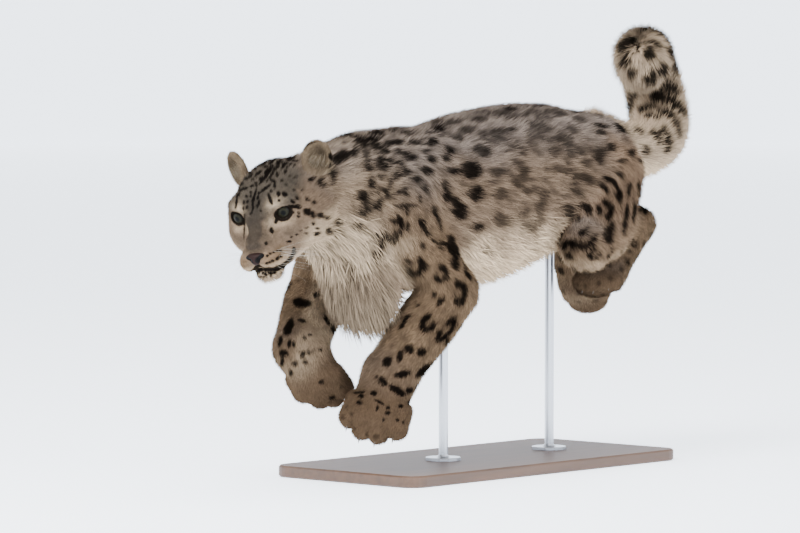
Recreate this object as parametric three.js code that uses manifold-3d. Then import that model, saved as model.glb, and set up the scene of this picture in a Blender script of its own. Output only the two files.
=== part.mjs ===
// A snow leopard in mid-leap, life size, held on a plain display stand.
// Millimetres, +Z up. The cat heads towards -X with its left side towards -Y,
// and the origin is the centre of the base's underside.
import * as THREE from "three";
import { mergeVertices } from "three/addons/utils/BufferGeometryUtils.js";
import Module from "manifold-3d";

const wasm = await Module();
wasm.setup();

// Driving dimensions of the animal, taken over the coat.
const HUMERUS = 184;
const FOREARM = 196;
const FORE_FOOT = 138;
const THIGH = 210;
const SHANK = 219;
const HIND_FOOT = 150;
const HIND_TOES = 62;
const EYE = { radius: 16, fore: -5, left: 38.5, lid: 3.2, open: [14, 10] };

// Driving dimensions of the stand.
const BASE = { length: 780, width: 360, thickness: 22, corner: 34, bevel: 3 };
const ROD_RADIUS = 9;
const FLANGE = { radius: 34, height: 6, fillet: 5 };

// Touching nodes keep this gap.
const GAP = 0.3;

const DEGREE = Math.PI / 180;
const LEFT = -1;
const RIGHT = 1;
const UP = new THREE.Vector3(0, 0, 1);
const FORWARD = new THREE.Vector3(-1, 0, 0);

const point = (x, y, z) => new THREE.Vector3(x, y, z);
const WORLD_AXES = [point(1, 0, 0), point(0, 1, 0), point(0, 0, 1)];

// A direction that turns from straight ahead towards the cat's left, and rises, in degrees.
function heading(turn, rise) {
  const flat = Math.cos(rise * DEGREE);
  return point(
    -Math.cos(turn * DEGREE) * flat,
    -Math.sin(turn * DEGREE) * flat,
    Math.sin(rise * DEGREE),
  );
}

const step = (from, length, turn, rise) => from.clone().addScaledVector(heading(turn, rise), length);

// Smooth interpolation through equally spaced values, t from 0 to 1.
function spline(values, t) {
  const place = Math.min(Math.max(t, 0), 1) * (values.length - 1);
  const i = Math.min(Math.floor(place), values.length - 2);
  const u = place - i;
  const [a, b, c, d] = [-1, 0, 1, 2].map((n) => values[Math.min(Math.max(i + n, 0), values.length - 1)]);
  const square = 2 * a - 5 * b + 4 * c - d;
  const cube = 3 * b - a - 3 * c + d;
  return 0.5 * (2 * b + (c - a) * u + square * u * u + cube * u * u * u);
}

const splinePoint = (points, t) =>
  point(...["x", "y", "z"].map((axis) => spline(points.map((p) => p[axis]), t)));

// The two directions across an axis: one nearest to the hint, and the one square to both.
function across(axis, hint) {
  const front = hint.clone().addScaledVector(axis, -hint.dot(axis)).normalize();
  return [front, new THREE.Vector3().crossVectors(axis, front)];
}

// About how far a point at a, b, c stands outside an ellipsoid with these radii.
function beyond(a, b, c, ra, rb, rc) {
  const share = Math.hypot(a / ra, b / rb, c / rc);
  if (share < 1e-6) return -Math.min(ra, rb, rc);
  return Math.hypot(a, b, c) * (1 - 1 / share);
}

const lump = (centre, radii, axes) => ({
  centre,
  reach: Math.max(...radii),
  field(p) {
    const d = p.clone().sub(centre);
    return beyond(d.dot(axes[0]), d.dot(axes[1]), d.dot(axes[2]), ...radii);
  },
});

// A straight limb: its radii towards the front, back and side at equally spaced sections.
function limb(from, to, hint, { front, back, side }) {
  const length = from.distanceTo(to);
  const axis = to.clone().sub(from).normalize();
  const [ahead, aside] = across(axis, hint);
  return {
    centre: from.clone().lerp(to, 0.5),
    reach: length / 2 + Math.max(...front, ...back, ...side),
    field(p) {
      const d = p.clone().sub(from);
      const along = d.dot(axis);
      const t = Math.min(Math.max(along / length, 0), 1);
      const b = d.dot(ahead);
      const rb = spline(b > 0 ? front : back, t);
      const ra = spline(side, t);
      return beyond(d.dot(aside), b, along - t * length, ra, rb, Math.min(ra, rb));
    },
  };
}

// A curved trunk: a limb whose centreline bends through its points.
const TRUNK_STEPS = 36;
function trunk(path, hint, { front, back, side }) {
  const at = Array.from({ length: TRUNK_STEPS + 1 }, (_, i) => splinePoint(path, i / TRUNK_STEPS));
  const middle = splinePoint(path, 0.5);
  return {
    centre: middle,
    reach: Math.max(...at.map((q) => q.distanceTo(middle))) + Math.max(...front, ...back, ...side),
    field(p) {
      let best = { gap: Infinity };
      for (let i = 0; i < TRUNK_STEPS; i++) {
        const run = at[i + 1].clone().sub(at[i]);
        const d = p.clone().sub(at[i]);
        const u = Math.min(Math.max(d.dot(run) / run.lengthSq(), 0), 1);
        const off = d.addScaledVector(run, -u);
        const gap = off.lengthSq();
        if (gap < best.gap) best = { gap, off, run, t: (i + u) / TRUNK_STEPS };
      }
      const axis = best.run.normalize();
      const [ahead, aside] = across(axis, hint);
      const b = best.off.dot(ahead);
      const rb = spline(b > 0 ? front : back, best.t);
      const ra = spline(side, best.t);
      return beyond(best.off.dot(aside), b, best.off.dot(axis), ra, rb, Math.min(ra, rb));
    },
  };
}

function smoothMin(a, b, k) {
  const h = Math.max(k - Math.abs(a - b), 0) / k;
  return Math.min(a, b) - (h * h * k) / 4;
}

// Forms that flow into one another over their own blend, in order; a hollow one is taken away.
function blended(forms) {
  return (p) => {
    let value = 1e3;
    for (const [form, blend, kind] of forms) {
      const near = p.distanceTo(form.centre) - form.reach;
      if (kind === "hollow") {
        if (near < blend - value) value = -smoothMin(-value, form.field(p), blend);
      } else if (near < value + blend) {
        value = smoothMin(value, form.field(p), blend);
      }
    }
    return value;
  };
}

// Pose: the joints, each a bone's length from the one before.
function foreLeg(shoulder, arm, forearm, foot) {
  const elbow = step(shoulder, HUMERUS, ...arm);
  const wrist = step(elbow, FOREARM, ...forearm);
  return { shoulder, elbow, wrist, toes: step(wrist, FORE_FOOT, ...foot) };
}

function hindLeg(hip, thigh, shank, foot, toe) {
  const knee = step(hip, THIGH, ...thigh);
  const hock = step(knee, SHANK, ...shank);
  const ball = step(hock, HIND_FOOT, ...foot);
  return { hip, knee, hock, ball, toes: step(ball, HIND_TOES, ...toe) };
}

const foreLeft = foreLeg(point(-336, -96, 490), [171, -49], [-19, -50], [3, -59]);
const foreRight = foreLeg(point(-356, 92, 520), [217, -58], [28, -36], [172, -58]);
const hindLeft = hindLeg(point(280, -60, 569), [30, -44], [191, 9], [6, -38], [4, -24]);
const hindRight = hindLeg(point(280, 60, 569), [-40, -42], [171, 8], [178, -62], [176, -50]);

const EYES = point(-648, -45, 506);
const HEAD_TURN = 22;
const HEAD_DROP = -20;
const HEAD_ROLL = 8.5;
const HEAD_SCALE = 1.08;
const headFore = heading(HEAD_TURN, HEAD_DROP);
const levelLeft = new THREE.Vector3().crossVectors(UP, headFore).normalize();
const headLeft = levelLeft.clone().applyAxisAngle(headFore, HEAD_ROLL * DEGREE);
const headUp = new THREE.Vector3().crossVectors(headFore, headLeft);

// A place in the head's own frame: ahead of, left of and above the point between the eyes.
const inHead = (fore, left, up) =>
  EYES.clone()
    .addScaledVector(headFore, fore * HEAD_SCALE)
    .addScaledVector(headLeft, left * HEAD_SCALE)
    .addScaledVector(headUp, up * HEAD_SCALE);

// Head forms, each [fore, left, up], [radii the same way], blend. Those off the middle are on both sides.
const HEAD_FORMS = [
  [[-62, 0, 4], [72, 62, 56], 20],
  [[-24, 0, 14], [46, 48, 34], 24],
  [[12, 0, -6], [32, 24, 24], 20],
  [[42, 0, -28], [32, 18, 17], 14],
  [[38, 0, -53], [34, 32, 24], 16],
  [[50, 17, -60], [25, 20, 19], 8],
  [[31, 0, -88], [24, 23, 17], 12],
  [[-8, 22, -69], [52, 24, 24], 16],
  [[-42, 46, -36], [48, 38, 46], 24],
  [[-10, 40, -27], [27, 24, 20], 20],
  [[-10, 36, 20], [22, 24, 13], 16],
  [[-16, 43, -2], [20, 24, 22], 14],
  [[-72, 62, -44], [34, 26, 40], 24],
];
const headAxes = [headFore, headLeft, headUp];
const mirrored = (left) => (left ? [LEFT, RIGHT] : [0]);
const headForms = HEAD_FORMS.flatMap(([[fore, left, up], radii, blend]) =>
  mirrored(left).map((side) => [
    lump(inHead(fore, -side * left, up), radii.map((r) => r * HEAD_SCALE), headAxes),
    blend,
  ]),
);

// Ears: a rounded leaf with a cup in its face.
const EAR_PLACE = { fore: -110, left: 73, up: 46 };
const EAR = { thick: 13, wide: 31, tall: 37, turn: 38 };
const CUP = { ahead: 12, thick: 13, wide: 22, tall: 28 };
function earFrame(side) {
  const facing = headFore
    .clone()
    .multiplyScalar(Math.cos(EAR.turn * DEGREE))
    .addScaledVector(headLeft, -side * Math.sin(EAR.turn * DEGREE));
  const centre = inHead(EAR_PLACE.fore, -side * EAR_PLACE.left, EAR_PLACE.up);
  const rise = headUp.clone().addScaledVector(headLeft, -side * 0.25).normalize();
  const width = new THREE.Vector3().crossVectors(rise, facing).normalize();
  return { centre, axes: [facing, width, new THREE.Vector3().crossVectors(facing, width)] };
}
function earForms(side) {
  const { centre, axes } = earFrame(side);
  const [facing] = axes;
  const cup = centre.clone().addScaledVector(facing, CUP.ahead).addScaledVector(headUp, 2);
  return [
    [lump(centre, [EAR.thick, EAR.wide, EAR.tall], axes), 10],
    [lump(cup, [CUP.thick, CUP.wide, CUP.tall], axes), 3, "hollow"],
  ];
}

// Torso profile: heights of the back and of the belly, and half widths, at equal steps along X.
const TORSO_X = [-330, 335];
const BACK = [640, 648, 662, 682, 694, 698, 685, 638];
const BELLY = [384, 364, 358, 364, 387, 416, 448, 518];
const FLANK = [104, 126, 134, 137, 138, 134, 122, 90];
const torsoPath = BACK.map((back, i) =>
  point(TORSO_X[0] + ((TORSO_X[1] - TORSO_X[0]) * i) / (BACK.length - 1), 0, (back + BELLY[i]) / 2),
);
const depth = BACK.map((back, i) => (back - BELLY[i]) / 2);

const neckPath = [point(-250, 0, 520), point(-350, -6, 524), point(-440, -28, 536), inHead(-100, 0, -8)];
const TAIL_PATH = [
  point(335, -1, 622),
  point(399, 10, 607),
  point(462, 26, 597),
  point(525, 45, 594),
  point(587, 68, 601),
  point(645, 95, 615),
  point(699, 128, 634),
  point(743, 164, 667),
  point(745, 182, 726),
  point(708, 171, 778),
  point(654, 138, 790),
  point(603, 99, 772),
];

// Radii of the lengths of a foreleg.
const SHOULDER = { front: [40, 62, 52], back: [60, 66, 56], side: [34, 40, 46] };
const UPPER_ARM = { front: [50, 54, 54], back: [66, 72, 54], side: [48, 54, 52] };
const LOWER_ARM = { front: [58, 62, 58, 52], back: [58, 60, 54, 50], side: [52, 56, 54, 54] };
function foreForms(leg, side) {
  const withers = point(-205, side * 60, 600);
  return [
    [limb(withers, leg.shoulder, FORWARD, SHOULDER), 50],
    [limb(leg.shoulder, leg.elbow, FORWARD, UPPER_ARM), 36],
    [limb(leg.elbow, leg.wrist, FORWARD, LOWER_ARM), 20],
  ];
}

// The four toes by their place across the foot, and the middle of each toe's end.
// The outer two are shorter and the toes are closer together at their roots.
const TOES = [-1.5, -0.5, 0.5, 1.5];
const OUTER_TOE_SHORTER = 16;
const TOE_SPREAD = { root: 0.42, tip: 0.46 };
function toeTip({ from, to, dorsal, halfWidth, toeRadius }, place) {
  const axis = to.clone().sub(from).normalize();
  const [ahead, aside] = across(axis, dorsal);
  return to
    .clone()
    .addScaledVector(axis, -toeRadius - (Math.abs(place) > 1 ? OUTER_TOE_SHORTER : 0))
    .addScaledVector(aside, place * halfWidth * TOE_SPREAD.tip)
    .addScaledVector(ahead, -4);
}

// A foot: the pad and four toes that fan out from it.
function footForms({ from, to, dorsal, halfWidth, thickness, toeRadius }) {
  const axis = to.clone().sub(from);
  const length = axis.length();
  axis.normalize();
  const [, aside] = across(axis, dorsal);
  const pad = from.clone().addScaledVector(axis, length * 0.58);
  const flat = [thickness, thickness];
  const sole = { front: flat, back: flat, side: [halfWidth * 0.74, halfWidth * 0.86] };
  const forms = [[limb(from, pad, dorsal, sole), 18]];
  const round = [toeRadius, toeRadius];
  const toe = { front: round, back: round, side: [toeRadius, toeRadius * 0.94] };
  for (const place of TOES) {
    const sideways = place * halfWidth * TOE_SPREAD.root;
    const root = pad.clone().addScaledVector(aside, sideways).addScaledVector(axis, -14);
    const tip = toeTip({ from, to, dorsal, halfWidth, toeRadius }, place);
    forms.push([limb(root, tip, dorsal, toe), 7]);
  }
  return forms;
}

// Radii of the lengths of a hindleg: thigh, the muscle behind it, shank and foot.
const UPPER_THIGH = { front: [70, 74, 66, 52], back: [86, 88, 70, 50], side: [52, 58, 54, 46] };
const HAMSTRING = { front: [52, 54, 44], back: [50, 50, 40], side: [40, 44, 38] };
const LOWER_LEG = { front: [46, 44, 34, 28], back: [44, 44, 34, 28], side: [42, 42, 34, 28] };
const METATARSUS = { front: [36, 34, 33], back: [34, 32, 30], side: [36, 40, 48] };
function hindForms(leg, side) {
  const croup = point(268, side * 58, 590);
  const buttock = point(352, side * 52, 560);
  const calf = leg.knee.clone().lerp(leg.hock, 0.35);
  return [
    [lump(croup, [92, 56, 84], [point(1, 0, 0), point(0, 1, 0), UP]), 50],
    [limb(leg.hip, leg.knee, FORWARD, UPPER_THIGH), 40],
    [limb(buttock, calf, FORWARD, HAMSTRING), 40],
    [limb(leg.knee, leg.hock, UP, LOWER_LEG), 24],
    [limb(leg.hock, leg.ball, UP, METATARSUS), 14],
  ];
}

const bib = lump(point(-350, -18, 380), [52, 64, 70], WORLD_AXES);
// The tail's radius along its path: thickest towards its end, then rounded over at the tip.
const TAIL_PROFILE = [46, 43, 42, 43, 46, 47, 46];
const TIP_FROM = 0.9;
const TAIL_RADIUS = (t) => {
  const past = Math.max(0, (t - TIP_FROM) / (1 - TIP_FROM));
  return spline(TAIL_PROFILE, t) * Math.sqrt(1 - 0.96 * past * past);
};
const TAIL_ROOT = { front: [54, 46, 42], back: [54, 46, 42], side: [52, 44, 42] };
const NECK = { front: [118, 112, 100, 66], back: [130, 128, 104, 66], side: [100, 98, 90, 70] };
const tailTrunk = trunk(TAIL_PATH.slice(0, 5), point(0, 1, 0), TAIL_ROOT);
const trunkForms = [
  [trunk(torsoPath, UP, { front: depth, back: depth, side: FLANK }), 1],
  [trunk(neckPath, UP, NECK), 60],
  [bib, 60],
  [tailTrunk, 40],
];
const headList = headForms.map(([form, blend], i) => [form, i ? blend : 40]);
const FORE_PAW = { halfWidth: 66, thickness: 42, toeRadius: 25 };
const HIND_PAW = { halfWidth: 56, thickness: 31, toeRadius: 20 };
const feet = {
  foreleg_left: { from: foreLeft.wrist, to: foreLeft.toes, dorsal: heading(25, 0), ...FORE_PAW },
  foreleg_right: { from: foreRight.wrist, to: foreRight.toes, dorsal: heading(0, 30), ...FORE_PAW },
  hindleg_left: { from: hindLeft.ball, to: hindLeft.toes, dorsal: UP, ...HIND_PAW },
  hindleg_right: { from: hindRight.ball, to: hindRight.toes, dorsal: FORWARD, ...HIND_PAW },
};
const legForms = {
  foreleg_left: [...foreForms(foreLeft, LEFT), ...footForms(feet.foreleg_left)],
  foreleg_right: [...foreForms(foreRight, RIGHT), ...footForms(feet.foreleg_right)],
  hindleg_left: [...hindForms(hindLeft, LEFT), ...footForms(feet.hindleg_left)],
  hindleg_right: [...hindForms(hindRight, RIGHT), ...footForms(feet.hindleg_right)],
};
const bodyWith = (names) => blended([...trunkForms, ...names.flatMap((name) => legForms[name]), ...headList]);
const body = bodyWith(Object.keys(legForms));
const headField = blended(headList);

// Places of the grid planes along one side of a box; a pair of cell sizes is graded from first to last.
function ticks(half, cell) {
  const [first, last] = Array.isArray(cell) ? cell : [cell, cell];
  const count = Math.max(3, Math.ceil((4 * half) / (first + last)));
  const share = (i) => {
    const t = i / count;
    return (first * t + ((last - first) * t * t) / 2) / ((first + last) / 2);
  };
  return Array.from({ length: count + 1 }, (_, i) => half * (2 * share(i) - 1));
}

// The surface of a field inside an oriented box, as a closed mesh with one vertex in each crossed cell.
const CORNERS = [0, 1, 2, 3, 4, 5, 6, 7].map((n) => [n & 1, (n >> 1) & 1, (n >> 2) & 1]);
const EDGES = [
  [[0, 1], [2, 3], [4, 5], [6, 7]],
  [[0, 2], [1, 3], [4, 6], [5, 7]],
  [[0, 4], [1, 5], [2, 6], [3, 7]],
].flat();

// True where the corners on one side of the surface are in more than one group within their cell.
const joined = (set) => {
  const reached = new Set([set[0]]);
  for (const corner of reached)
    for (const [a, b] of EDGES) {
      if (a === corner && set.includes(b)) reached.add(b);
      if (b === corner && set.includes(a)) reached.add(a);
    }
  return reached.size === set.length;
};
const TWOFOLD = Array.from({ length: 256 }, (_, bits) => {
  const within = [0, 1, 2, 3, 4, 5, 6, 7].filter((n) => (bits >> n) & 1);
  const outside = [0, 1, 2, 3, 4, 5, 6, 7].filter((n) => !((bits >> n) & 1));
  return within.length > 0 && outside.length > 0 && !(joined(within) && joined(outside));
});

// Fills in corners until the surface crosses every cell as a single sheet.
function untangle(value, [nx, ny, nz], depth) {
  const offsets = CORNERS.map(([a, b, c]) => a + b * nx + c * nx * ny);
  for (let again = true; again; ) {
    again = false;
    for (let k = 1; k < nz - 2; k++)
      for (let j = 1; j < ny - 2; j++)
        for (let i = 1; i < nx - 2; i++) {
          const n = (k * ny + j) * nx + i;
          const bits = offsets.reduce((sum, offset, c) => sum + (value[n + offset] < 0 ? 1 << c : 0), 0);
          if (!TWOFOLD[bits]) continue;
          again = true;
          const open = offsets.filter((offset) => value[n + offset] >= 0);
          const nearest = open.reduce((a, b) => (value[n + b] < value[n + a] ? b : a));
          value[n + nearest] = -depth;
        }
  }
}

function surfaceNet(field, box, cells) {
  const sizes = box.half.toArray();
  const grid = sizes.map((half, i) => ticks(half, cells[i]));
  const place = (a, b, c) =>
    box.centre
      .clone()
      .addScaledVector(box.axes[0], a)
      .addScaledVector(box.axes[1], b)
      .addScaledVector(box.axes[2], c);
  const inner = sizes.map((half, i) => half - 0.6 * Math.max(grid[i][1] - grid[i][0], half - grid[i].at(-2)));
  const closed = (p) => {
    const d = p.clone().sub(box.centre);
    return Math.max(field(p), ...box.axes.map((axis, i) => Math.abs(d.dot(axis)) - inner[i]));
  };
  const [nx, ny, nz] = grid.map((places) => places.length);
  const strides = [1, nx, nx * ny];
  const value = new Float64Array(nx * ny * nz);
  for (let n = 0; n < value.length; n++) {
    const [i, j, k] = [n % nx, Math.floor(n / nx) % ny, Math.floor(n / (nx * ny))];
    value[n] = closed(place(grid[0][i], grid[1][j], grid[2][k]));
  }
  untangle(value, [nx, ny, nz], 0.5);
  const positions = [];
  const vertexOf = new Map();
  const triangles = [];
  for (let n = 0; n < value.length; n++) {
    const ijk = [n % nx, Math.floor(n / nx) % ny, Math.floor(n / (nx * ny))];
    if (ijk[0] === nx - 1 || ijk[1] === ny - 1 || ijk[2] === nz - 1) continue;
    const v = CORNERS.map((corner) => value[n + corner[0] + corner[1] * nx + corner[2] * nx * ny]);
    const crossed = EDGES.filter(([a, b]) => v[a] < 0 !== v[b] < 0);
    if (!crossed.length) continue;
    const local = [0, 0, 0];
    for (const [a, b] of crossed) {
      const t = v[a] / (v[a] - v[b]);
      const at = CORNERS[a].map((from, m) => from + t * (CORNERS[b][m] - from));
      for (let m = 0; m < 3; m++) local[m] += at[m] / crossed.length;
    }
    const at = ijk.map((i, m) => grid[m][i] + local[m] * (grid[m][i + 1] - grid[m][i]));
    const least = Math.min(...ijk.map((i, m) => grid[m][i + 1] - grid[m][i]));
    vertexOf.set(n, positions.length / 3);
    positions.push(...settle(closed, place(...at), least * 0.4).toArray());
  }
  for (let n = 0; n < value.length; n++) {
    const ijk = [n % nx, Math.floor(n / nx) % ny, Math.floor(n / (nx * ny))];
    if (ijk[0] > nx - 2 || ijk[1] > ny - 2 || ijk[2] > nz - 2) continue;
    for (let m = 0; m < 3; m++) {
      if (ijk[(m + 1) % 3] < 1 || ijk[(m + 2) % 3] < 1) continue;
      const inside = value[n] < 0;
      if (inside === value[n + strides[m]] < 0) continue;
      const [u, v] = [strides[(m + 1) % 3], strides[(m + 2) % 3]];
      const quad = [n - u - v, n - v, n, n - u].map((cell) => vertexOf.get(cell));
      if (!inside) quad.reverse();
      triangles.push(quad[0], quad[1], quad[2], quad[0], quad[2], quad[3]);
    }
  }
  const geometry = new THREE.BufferGeometry();
  geometry.setAttribute("position", new THREE.Float32BufferAttribute(positions, 3));
  return solidOf(geometry.setIndex(triangles));
}

// Moves a point onto the surface, by at most a given distance.
function settle(field, p, most) {
  const q = p.clone();
  for (let turn = 0; turn < 3; turn++) {
    const value = field(q);
    const slope = slopeOf(field, q);
    q.addScaledVector(slope, -value / Math.max(slope.lengthSq(), 0.2));
  }
  const move = q.sub(p);
  return p.clone().add(move.clampLength(0, most));
}

function slopeOf(field, p) {
  const h = 0.5;
  return point(
    ...[point(h, 0, 0), point(0, h, 0), point(0, 0, h)].map(
      (d) => (field(p.clone().add(d)) - field(p.clone().sub(d))) / (2 * h),
    ),
  );
}

// A closed three.js geometry as a solid, and back.
function solidOf(geometry) {
  const bare = geometry.index ? geometry.clone() : geometry;
  for (const name of Object.keys(bare.attributes)) if (name !== "position") bare.deleteAttribute(name);
  const merged = mergeVertices(bare, 1e-4);
  return new wasm.Manifold(
    new wasm.Mesh({
      numProp: 3,
      vertProperties: merged.attributes.position.array,
      triVerts: new Uint32Array(merged.index.array),
    }),
  );
}

function geometryOf(solid) {
  const mesh = solid.getMesh();
  return new THREE.BufferGeometry()
    .setAttribute("position", new THREE.BufferAttribute(new Float32Array(mesh.vertProperties), 3))
    .setIndex(new THREE.BufferAttribute(new Uint32Array(mesh.triVerts), 1));
}

const largest = (solid) => solid.decompose().reduce((a, b) => (b.volume() > a.volume() ? b : a));

// An oriented box as data, and as a solid.
const boxOf = (centre, axes, half) => ({ centre, axes, half: point(...half) });
const boxBetween = (low, high) => {
  const middle = low.map((v, i) => (v + high[i]) / 2);
  return boxOf(point(...middle), WORLD_AXES, high.map((v, i) => (v - low[i]) / 2));
};

// A box along a bone, running past its ends, with its reach towards the hint, away from it and to both sides.
function boxAlong(from, to, hint, { before, after, ahead, behind, side }) {
  const axis = to.clone().sub(from).normalize();
  const [front, aside] = across(axis, hint);
  const length = from.distanceTo(to);
  const centre = from
    .clone()
    .addScaledVector(axis, (length + after - before) / 2)
    .addScaledVector(front, (ahead - behind) / 2);
  return boxOf(centre, [axis, front, aside], [(length + before + after) / 2, (ahead + behind) / 2, side]);
}

function boxSolid(box, grow = 0) {
  const size = box.half.clone().addScalar(grow).multiplyScalar(2);
  const turn = new THREE.Matrix4().makeBasis(...box.axes).setPosition(box.centre);
  return solidOf(new THREE.BoxGeometry(...size.toArray()).applyMatrix4(turn));
}

// A slab that fills everything ahead of a plane.
const FAR = 1500;
function ahead(centre, normal, shift = 0) {
  const axis = normal.clone().normalize();
  const [front, aside] = across(axis, Math.abs(axis.z) > 0.9 ? FORWARD : UP);
  const middle = centre.clone().addScaledVector(axis, FAR + shift);
  return boxSolid(boxOf(middle, [axis, front, aside], [FAR, FAR, FAR]));
}

// The nodes by name, each a solid and its look.
const nodes = new Map();
const add = (name, solid, look) => nodes.set(name, { solid: largest(solid), look });
const COAT = { color: 0xa6927d, roughness: 0.9 };
const EYEBALL = { color: 0x9aa392, roughness: 0.1 };
const SKIN = { color: 0x8a6a60, roughness: 0.5 };
const STEEL = { color: 0xb8babd, roughness: 0.35, metalness: 1 };
const TIMBER = { color: 0x4f3a2a, roughness: 0.55 };

// Where the trunk is parted: a point on the plane and its normal.
const THROAT = [point(-345, 0, 560), heading(8, 35)];
const NAPE = [inHead(-112, 0, -8), headFore.clone().addScaledVector(headUp, 0.45)];
const RIBS = [point(-60, 0, 500), point(-1, 0, 0.12)];
const LOINS = [point(150, 0, 500), point(-1, 0, -0.1)];
const tailAt = (t) => splinePoint(TAIL_PATH, t);
const tailAxis = (t) => tailAt(t + 0.01).sub(tailAt(t - 0.01)).normalize();
const DOCK_PLACE = 0.13;
const DOCK = [tailAt(DOCK_PLACE), tailAxis(DOCK_PLACE).negate()];

const half = (plane, shift = 0) => ahead(plane[0], plane[1], shift);
const behind = (plane) => ahead(plane[0], plane[1].clone().negate(), GAP);

// Boxes that part each leg from the trunk and its own lengths from each other.
const FORE_LOWER = { before: -34, after: 400, ahead: 74, behind: 110, side: 80 };
const FORE_PAW_BOX = { before: -6, after: 50, ahead: 90, behind: 90, side: 90 };
const HIND_LOWER = { before: 10, after: 200, ahead: 44, behind: 200, side: 80 };
const HIND_PAW_BOX = { before: 0, after: 50, ahead: 60, behind: 80, side: 80 };
const foreBoxes = (leg, low, high) => ({
  upper: boxBetween(low, high),
  lower: boxAlong(leg.elbow, leg.wrist, FORWARD, FORE_LOWER),
  paw: boxAlong(leg.wrist, leg.toes, FORWARD, FORE_PAW_BOX),
});
const hindBoxes = (leg, low, high) => ({
  upper: boxBetween(low, high),
  lower: boxAlong(leg.knee, leg.hock, UP, HIND_LOWER),
  paw: boxAlong(leg.hock, leg.toes, UP, HIND_PAW_BOX),
});

// Each leg's boxes, and the room that it is meshed in.
const legs = {
  foreleg_left: [
    foreBoxes(foreLeft, [-400, -215, 290], [-135, -86, 462]),
    boxBetween([-520, -240, 30], [-110, 40, 490]),
  ],
  foreleg_right: [
    foreBoxes(foreRight, [-425, 84, 290], [-180, 215, 490]),
    boxBetween([-540, -60, 70], [-155, 235, 515]),
  ],
  hindleg_left: [
    hindBoxes(hindLeft, [90, -215, 330], [405, -72, 548]),
    boxBetween([65, -235, 250], [480, 0, 572]),
  ],
  hindleg_right: [
    hindBoxes(hindRight, [90, 72, 330], [405, 235, 548]),
    boxBetween([65, 0, 180], [480, 255, 572]),
  ],
};

// Rods of the stand: where each stands and how high it reaches into the body.
const RODS = [
  { name: "stand_rod_front", x: -105, y: 0, top: 420, node: "chest" },
  { name: "stand_rod_rear", x: 205, y: 0, top: 500, node: "rump" },
];
const rodHole = ({ x, y, top }) => {
  const radius = ROD_RADIUS + GAP;
  const hole = new THREE.CylinderGeometry(radius, radius, top, 12).rotateX(Math.PI / 2);
  return solidOf(hole.translate(x, y, top / 2 + GAP));
};

const PAW_MARGIN = 12;
function pawRoom({ centre, axes, half: reach }) {
  return boxOf(centre, axes, reach.toArray().map((h) => h + PAW_MARGIN));
}

// How far the thinning of the meshes may move a surface.
const THINNING = { trunk: 3.8, leg: 2.6, foot: 1.8, head: 1.5, ear: 1.2 };
const thinned = (solid, most) => solid.simplify(most).simplify(most);

// The sides of the cells that each part is meshed in.
const CELLS = {
  trunk: [36, 32, 32],
  leg: [26, 24, 26],
  foot: [18, 14, 14],
  head: [[18, 9], 11, 11.5],
  ear: [7, 8, 8],
  nose: [6, 5.2, 4.8],
};

const trunkRoom = boxBetween([-640, -190, 210], [490, 190, 740]);
let trunkSolid = thinned(surfaceNet(body, trunkRoom, CELLS.trunk), THINNING.trunk);
for (const [name, [boxes, room]] of Object.entries(legs)) {
  const field = bodyWith([name]);
  const mesh = thinned(surfaceNet(field, room, CELLS.leg), THINNING.leg);
  const foot = thinned(surfaceNet(field, pawRoom(boxes.paw), CELLS.foot), THINNING.foot);
  const upper = boxSolid(boxes.upper);
  const lower = boxSolid(boxes.lower);
  const paw = boxSolid(boxes.paw);
  const lowerWide = boxSolid(boxes.lower, GAP);
  const pawWide = boxSolid(boxes.paw, GAP);
  add(`${name}_upper`, mesh.intersect(upper).subtract(lowerWide).subtract(pawWide), COAT);
  add(`${name}_lower`, mesh.intersect(lower).subtract(pawWide), COAT);
  add(`${name}_paw`, foot.intersect(paw), COAT);
  for (const box of [boxes.upper, boxes.lower, boxes.paw])
    trunkSolid = trunkSolid.subtract(boxSolid(box, GAP));
}
trunkSolid = largest(trunkSolid);
for (const rod of RODS) trunkSolid = trunkSolid.subtract(rodHole(rod));
add("neck", trunkSolid.intersect(half(THROAT)).intersect(behind(NAPE)), COAT);
add("chest", trunkSolid.intersect(behind(THROAT)).intersect(half(RIBS)), COAT);
add("belly", trunkSolid.intersect(behind(RIBS)).intersect(half(LOINS)), COAT);
add("rump", trunkSolid.intersect(behind(LOINS)).intersect(half(DOCK)), COAT);

// The tail: rings along its path, in four lengths that end on flat faces.
const TAIL_SIDES = 9;
const TAIL_RING = 36;
const TAIL_LENGTHS = {
  tail_base: [DOCK_PLACE, 0.36],
  tail_middle: [0.36, 0.58],
  tail_end: [0.58, 0.79],
  tail_tip: [0.79, 1],
};
function tailLength([from, to]) {
  const span = tailAt(from).distanceTo(tailAt(to));
  const rings = Math.ceil((span * 1.15) / TAIL_RING);
  const positions = [];
  const index = [];
  for (let r = 0; r <= rings; r++) {
    const t = from + ((to - from) * r) / rings;
    const axis = tailAxis(t);
    const centre = tailAt(t).addScaledVector(axis, r ? 0 : GAP);
    const [front, aside] = across(axis, point(0, 1, 0));
    const radius = TAIL_RADIUS(t);
    for (let n = 0; n < TAIL_SIDES; n++) {
      const turn = (2 * Math.PI * n) / TAIL_SIDES;
      const q = centre
        .clone()
        .addScaledVector(front, radius * Math.cos(turn))
        .addScaledVector(aside, radius * Math.sin(turn));
      positions.push(...q.toArray());
      const a = r * TAIL_SIDES;
      const b = a + TAIL_SIDES;
      const next = (n + 1) % TAIL_SIDES;
      if (r < rings) index.push(a + n, a + next, b + next, a + n, b + next, b + n);
    }
  }
  const last = rings * TAIL_SIDES;
  for (let n = 1; n < TAIL_SIDES - 1; n++) index.push(0, n + 1, n, last, last + n, last + n + 1);
  const geometry = new THREE.BufferGeometry();
  geometry.setAttribute("position", new THREE.Float32BufferAttribute(positions, 3));
  return solidOf(geometry.setIndex(index));
}
for (const [name, range] of Object.entries(TAIL_LENGTHS)) add(name, tailLength(range), COAT);

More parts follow.
